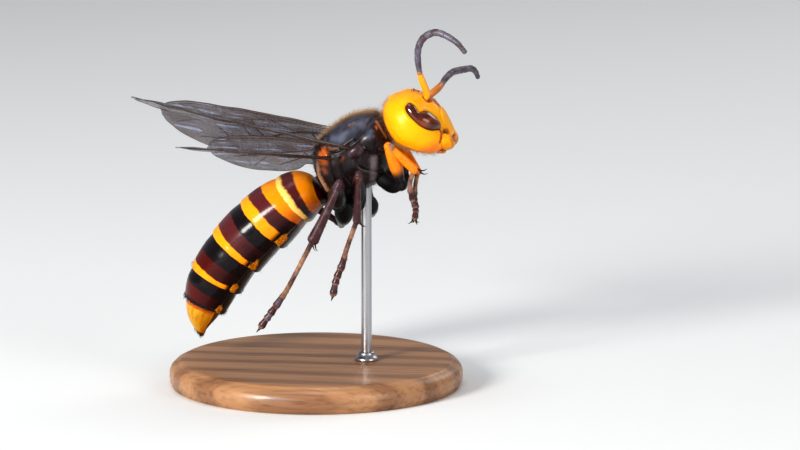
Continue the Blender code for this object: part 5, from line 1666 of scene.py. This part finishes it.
class Coat:
    """Solid hairs over a form, each a thin bent spike that keeps the fields of the skin at its root."""

    def __init__(self, seed):
        self.draw = np.random.default_rng(seed)
        self.form = Form()
        self.uv = []

    def grow(self, source, count, length, radius, lift, bend, weight=None, long=0.0):
        """Adds hairs; weight gives each face's share from its fields, lift how far they stand off."""
        faces = source.triangles()
        corners = np.vstack(source.points)[faces]
        normals = np.cross(corners[:, 1] - corners[:, 0], corners[:, 2] - corners[:, 0])
        values = {key: source.gathered(key)[:, 0][faces].mean(1) for key in source.names()
                  if key not in ("flow", "place")}
        values["place"] = source.gathered("place", 3)[faces].mean(1)
        share = np.linalg.norm(normals, axis=1) * (weight(values) if weight else 1.0)
        chosen = self.draw.choice(len(faces), size=count, p=share / share.sum())
        mixing = self.draw.dirichlet((1, 1, 1), count)
        roots = (corners[chosen] * mixing[..., None]).sum(1)
        flow = unit(source.gathered("flow", 3)[faces[chosen]].mean(1))
        points = self.spikes(roots, unit(normals[chosen]), flow, length, radius, lift, bend)

        fields = {key: np.repeat(value[chosen][:, None], HAIR_POINTS, axis=1).reshape(-1, 1)
                  for key, value in values.items() if key != "place" and key not in BUILD_FIELDS}
        fields["place"] = np.repeat(values["place"][chosen], HAIR_POINTS, axis=0)
        fields["tip"] = np.tile(HAIR_TIPS, count)[:, None]
        fields["long"] = np.full((count * HAIR_POINTS, 1), long)
        triangles = (HAIR_FACES[None] + np.arange(count)[:, None, None] * HAIR_POINTS).reshape(-1, 3)
        self.form.add(points.reshape(-1, 3), [triangles], **fields)
        chart = np.stack([values["chart_u"][chosen], values["chart_v"][chosen]], -1) * 0.99 + HAIR_PATCH
        self.uv.append((chart[:, None] + (HAIR_CHART * HAIR_PATCH)[None]).reshape(-1, 2))

    def spikes(self, roots, normal, flow, length, radius, lift, bend):
        """The points of one bent spike at each root, leaning from the normal to the flow of the skin."""
        count = len(roots)
        scatter = self.draw.normal(0, HAIR_SCATTER, (count, 3))
        way = unit(flow * (1 - lift) + normal * lift + scatter * 0.6)
        steep = (way * normal).sum(1, keepdims=True)
        way = unit(way + normal * np.maximum(0.08 - steep, 0))
        tip_way = unit(way * (1 - bend) + flow * bend + scatter * 0.3)
        tip_way = unit(tip_way + normal * np.maximum(0.05 - (tip_way * normal).sum(1, keepdims=True), 0))
        reach = length * self.draw.uniform(0.55, 1.25, (count, 1))
        side = unit(np.cross(way, normal + scatter * 0.1))
        other = np.cross(way, side)
        points = []
        for forward, thick in HAIR_RINGS:
            middle = roots + way * reach * forward
            for turn in (0.0, math.tau / 3, 2 * math.tau / 3):
                points.append(middle + (side * math.cos(turn) + other * math.sin(turn)) * radius * thick)
        points.append(roots + way * reach * 0.45 + tip_way * reach * 0.55)
        return np.stack(points, 1)

    def make(self, name, finish, slot):
        self.form.make(name, finish, slot, uv=np.vstack(self.uv))


def form_of(name):
    """The form of a piece that is made already, for its coat."""
    if name not in FORMS:
        raise RuntimeError(f"make {name} before its coat")
    return FORMS[name]


def thorax_down(at):
    """Short hair all over the thorax, thickest along the back."""
    return 0.25 + 1.2 * at["crest"] * at["back"] + 0.3 * (at["place"][:, 2] < 0)


def thorax_tufts(at):
    """Long hair along the back and at the collar."""
    return 0.06 + 1.6 * at["crest"] * at["back"] + 0.5 * (at["place"][:, 0] > 4.6) * (at["place"][:, 2] > 0)


def face_down(at):
    """Short hair on the head, thickest at the crown and nape."""
    return (at["dark"] < 0.5) * (0.2 + 1.2 * (at["place"][:, 0] < -1.8) + 1.4 * (at["around"] > 0.7))


def nape_tufts(at):
    """Long hair at the nape, with a little at the crown."""
    return (at["around"] > 0.84) * 1.0 + 0.12 * (at["place"][:, 0] < -3.0)


def rim_bristles(at):
    """Bristles behind the rims of the rear plates, with a few on the belly."""
    rear = (at["plate"] > 2.5) * (at["plate"] < 5.5)
    return rear * (at["share"] > 0.8) * (0.5 + 3.0 * (at["plate"] > 3.5)) + 0.05 * (at["around"] > 0.7)


# Hair of the body: form, finish, seed, slot, size in the panel, and for each kind its count, share of
# that size, thickness, lift, bend, weight and whether it is long.
BODY_COATS = (
    ("thorax", thorax_coat, 11, "dark_shell", "body_hair",
     ((6000, 0.4, 0.007, 0.3, 0.5, thorax_down, 0.0), (2600, 1.1, 0.008, 0.65, 0.4, thorax_tufts, 0.0))),
    ("head", head_coat, 12, "yellow_shell", "face_hair",
     ((2600, 0.5, 0.005, 0.4, 0.3, face_down, 0.0), (1100, 2.4, 0.008, 0.7, 0.4, nape_tufts, 0.0))),
    ("gaster", gaster_coat, 13, "banded_shell", "gaster_hair",
     ((2400, 0.6, 0.005, 0.12, 0.8, None, 0.0), (1100, 1.5, 0.009, 0.4, 0.5, rim_bristles, 1.0))),
)


def build_coat():
    """Brown hair on the thorax, a fine coat on head and gaster, and bristles on legs and rims."""
    for name, finish, seed, slot, hair, kinds in BODY_COATS:
        coat = Coat(seed)
        for count, share, radius, lift, bend, weight, long in kinds:
            coat.grow(form_of(name), count, size(hair) * share, radius, lift, bend, weight, long)
        coat.make(name + "_coat", finish, slot)
    for kind, seed in LEG_SEEDS.items():
        coat = Coat(seed)
        for letter in SIDES:
            coat.grow(form_of(f"leg_{kind}_{letter}"), 2600, size("leg_hair") * 0.8, 0.008, 0.3, 0.3)
        coat.make("leg_coat_" + kind, leg_coat, "leg")


# Stand and stage

def lathe(profile, middle, columns):
    """Rings around an upright axis, one for each radius and height of the profile."""
    turn = np.linspace(0, math.tau, columns, endpoint=False)
    profile = np.asarray(profile, float)
    rings = np.stack([profile[:, :1] * np.cos(turn)[None], profile[:, :1] * np.sin(turn)[None],
                      np.repeat(profile[:, 1:2], columns, axis=1)], -1)
    return rings + np.asarray(middle) - BODY_AT


def build_stand():
    """A turned wooden disc and one steel rod in a collar, up to the underside of the thorax."""
    base = Form()
    under = [(share * BASE_PROFILE[0][0], BASE_PROFILE[0][1]) for share in UNDER_RINGS]
    top = [(share * BASE_PROFILE[-1][0], BASE_PROFILE[-1][1]) for share in TOP_RINGS]
    base.tube(lathe((*under, *BASE_PROFILE, *top), (0, 0, 0), 160))
    base.make("stand_disc", wood_finish, "stand_wood", "stand_base")
    rod = Form()
    length = [(ROD_RADIUS, z) for z in np.linspace(ROD_FOOT, ROD_TOP, 40)]
    rod.tube(lathe(((0.1, ROD_FOOT), *length, (0.1, ROD_TOP)), (ROD_AHEAD, 0, 0), 40))
    rod.tube(lathe(((0.5, 2.95), *COLLAR_PROFILE, (0.55, 4.0)), (ROD_AHEAD, 0, 0), 48))
    rod.make("stand_rod_steel", steel_finish, "stand_steel", "stand_rod")


def add_camera():
    """The camera at the photograph's angle."""
    turn, rise = VIEW_ANGLES
    right = Vector((math.cos(turn), math.sin(turn), 0.0))
    back = Vector((math.sin(turn) * math.cos(rise), -math.cos(turn) * math.cos(rise), math.sin(rise)))
    camera = bpy.data.cameras.new("camera")
    camera.sensor_width = SENSOR
    camera.lens = SENSOR * VIEW_DISTANCE / VIEW_WIDTH
    camera.clip_start, camera.clip_end = 0.01, 20.0
    made = bpy.data.objects.new("camera", camera)
    matrix = Matrix((right, back.cross(right), back)).transposed().to_4x4()
    matrix.translation = (Vector(VIEW_TARGET) + back * VIEW_DISTANCE) * MM
    made.matrix_world = matrix
    bpy.context.scene.collection.objects.link(made)
    bpy.context.scene.camera = made


def soft_light(name, position, width, energy, colour):
    """A round area light that is aimed at the body."""
    light = bpy.data.lights.new(name, "AREA")
    light.shape, light.size, light.energy, light.color = "DISK", width, energy, colour
    made = bpy.data.objects.new(name, light)
    made.location = position
    made.rotation_euler = (Vector(LIGHT_TARGET) - Vector(position)).to_track_quat("-Z", "Y").to_euler()
    bpy.context.scene.collection.objects.link(made)


def build_stage():
    """The camera at the photograph's angle, a pale floor and soft studio light."""
    add_camera()
    scene = bpy.context.scene
    scene.view_settings.view_transform = "Standard"
    scene.view_settings.look = "Medium High Contrast"

    floor = bpy.data.meshes.new("studio_floor")
    corners = [(x * FLOOR_HALF, y * FLOOR_HALF, 0) for x, y in ((-1, -1), (1, -1), (1, 1), (-1, 1))]
    floor.from_pydata(corners, [], [(0, 1, 2, 3)])
    floor.materials.append(material(floor_finish))
    stage = bpy.data.objects.new("studio_floor", floor)
    scene.collection.objects.link(stage)

    world = bpy.data.worlds.new("studio")
    world.use_nodes = True
    sky = world.node_tree.nodes["Background"]
    sky.inputs["Color"].default_value = SKY_COLOUR
    sky.inputs["Strength"].default_value = SKY_STRENGTH
    scene.world = world
    for name, light in LIGHTS.items():
        soft_light(name, *light)


# Operators

class HORNET_OT_head(Operator):
    """Makes the head's skin with its face plate, its ocelli and the mouthparts."""

    bl_idname = "hornet.head"
    bl_label = "Head"

    def execute(self, context):
        build_head()
        return {"FINISHED"}


class HORNET_OT_eyes(Operator):
    """Makes the two kidney-shaped compound eyes."""

    bl_idname = "hornet.eyes"
    bl_label = "Eyes"

    def execute(self, context):
        build_eyes()
        return {"FINISHED"}


class HORNET_OT_jaws(Operator):
    """Makes the two toothed jaws."""

    bl_idname = "hornet.jaws"
    bl_label = "Jaws"

    def execute(self, context):
        build_jaws()
        return {"FINISHED"}


class HORNET_OT_feelers(Operator):
    """Makes the two jointed feelers."""

    bl_idname = "hornet.feelers"
    bl_label = "Feelers"

    def execute(self, context):
        build_feelers()
        return {"FINISHED"}


class HORNET_OT_thorax(Operator):
    """Makes the thorax with its plates and the scales over the wing roots."""

    bl_idname = "hornet.thorax"
    bl_label = "Thorax"

    def execute(self, context):
        build_thorax()
        return {"FINISHED"}


class HORNET_OT_gaster(Operator):
    """Makes the banded gaster and the waist."""

    bl_idname = "hornet.gaster"
    bl_label = "Gaster"

    def execute(self, context):
        build_gaster()
        return {"FINISHED"}


class HORNET_OT_legs(Operator):
    """Makes the six jointed legs."""

    bl_idname = "hornet.legs"
    bl_label = "Legs"

    def execute(self, context):
        build_legs()
        return {"FINISHED"}


class HORNET_OT_wings(Operator):
    """Makes the four veined wings."""

    bl_idname = "hornet.wings"
    bl_label = "Wings"

    def execute(self, context):
        build_wings()
        return {"FINISHED"}


class HORNET_OT_coat(Operator):
    """Grows the hair of the body and the legs; the body and the legs come first."""

    bl_idname = "hornet.coat"
    bl_label = "Coat"

    def execute(self, context):
        build_coat()
        return {"FINISHED"}


class HORNET_OT_stand(Operator):
    """Makes the wooden disc and the steel rod."""

    bl_idname = "hornet.stand"
    bl_label = "Stand"

    def execute(self, context):
        build_stand()
        return {"FINISHED"}


class HORNET_OT_stage(Operator):
    """Sets the camera, the floor and the lights."""

    bl_idname = "hornet.stage"
    bl_label = "Studio"

    def execute(self, context):
        build_stage()
        return {"FINISHED"}


STEPS = (
    HORNET_OT_head, HORNET_OT_eyes, HORNET_OT_jaws, HORNET_OT_feelers, HORNET_OT_thorax, HORNET_OT_gaster,
    HORNET_OT_legs, HORNET_OT_wings, HORNET_OT_coat, HORNET_OT_stand, HORNET_OT_stage,
)


class HORNET_PT_panel(Panel):
    """Lists the steps that build the hornet, with its sizes and colours."""

    bl_label = "Giant hornet"
    bl_idname = "HORNET_PT_panel"
    bl_space_type = "VIEW_3D"
    bl_region_type = "UI"
    bl_category = "Hornet"

    def draw(self, context):
        for step in STEPS:
            self.layout.operator(step.bl_idname)
        for group in (context.scene.hornet_sizes, context.scene.hornet_colours):
            box = self.layout.box()
            for key in type(group).__annotations__:
                box.prop(group, key)


CLASSES = (HornetColours, HornetSizes, *STEPS, HORNET_PT_panel)


def register():
    for kind in CLASSES:
        bpy.utils.register_class(kind)
    bpy.types.Scene.hornet_colours = PointerProperty(type=HornetColours)
    bpy.types.Scene.hornet_sizes = PointerProperty(type=HornetSizes)


def unregister():
    del bpy.types.Scene.hornet_colours
    del bpy.types.Scene.hornet_sizes
    for kind in reversed(CLASSES):
        bpy.utils.unregister_class(kind)


def main():
    register()
    for step in STEPS:
        getattr(bpy.ops.hornet, step.bl_idname.split(".")[1])()


if __name__ == "__main__":
    main()
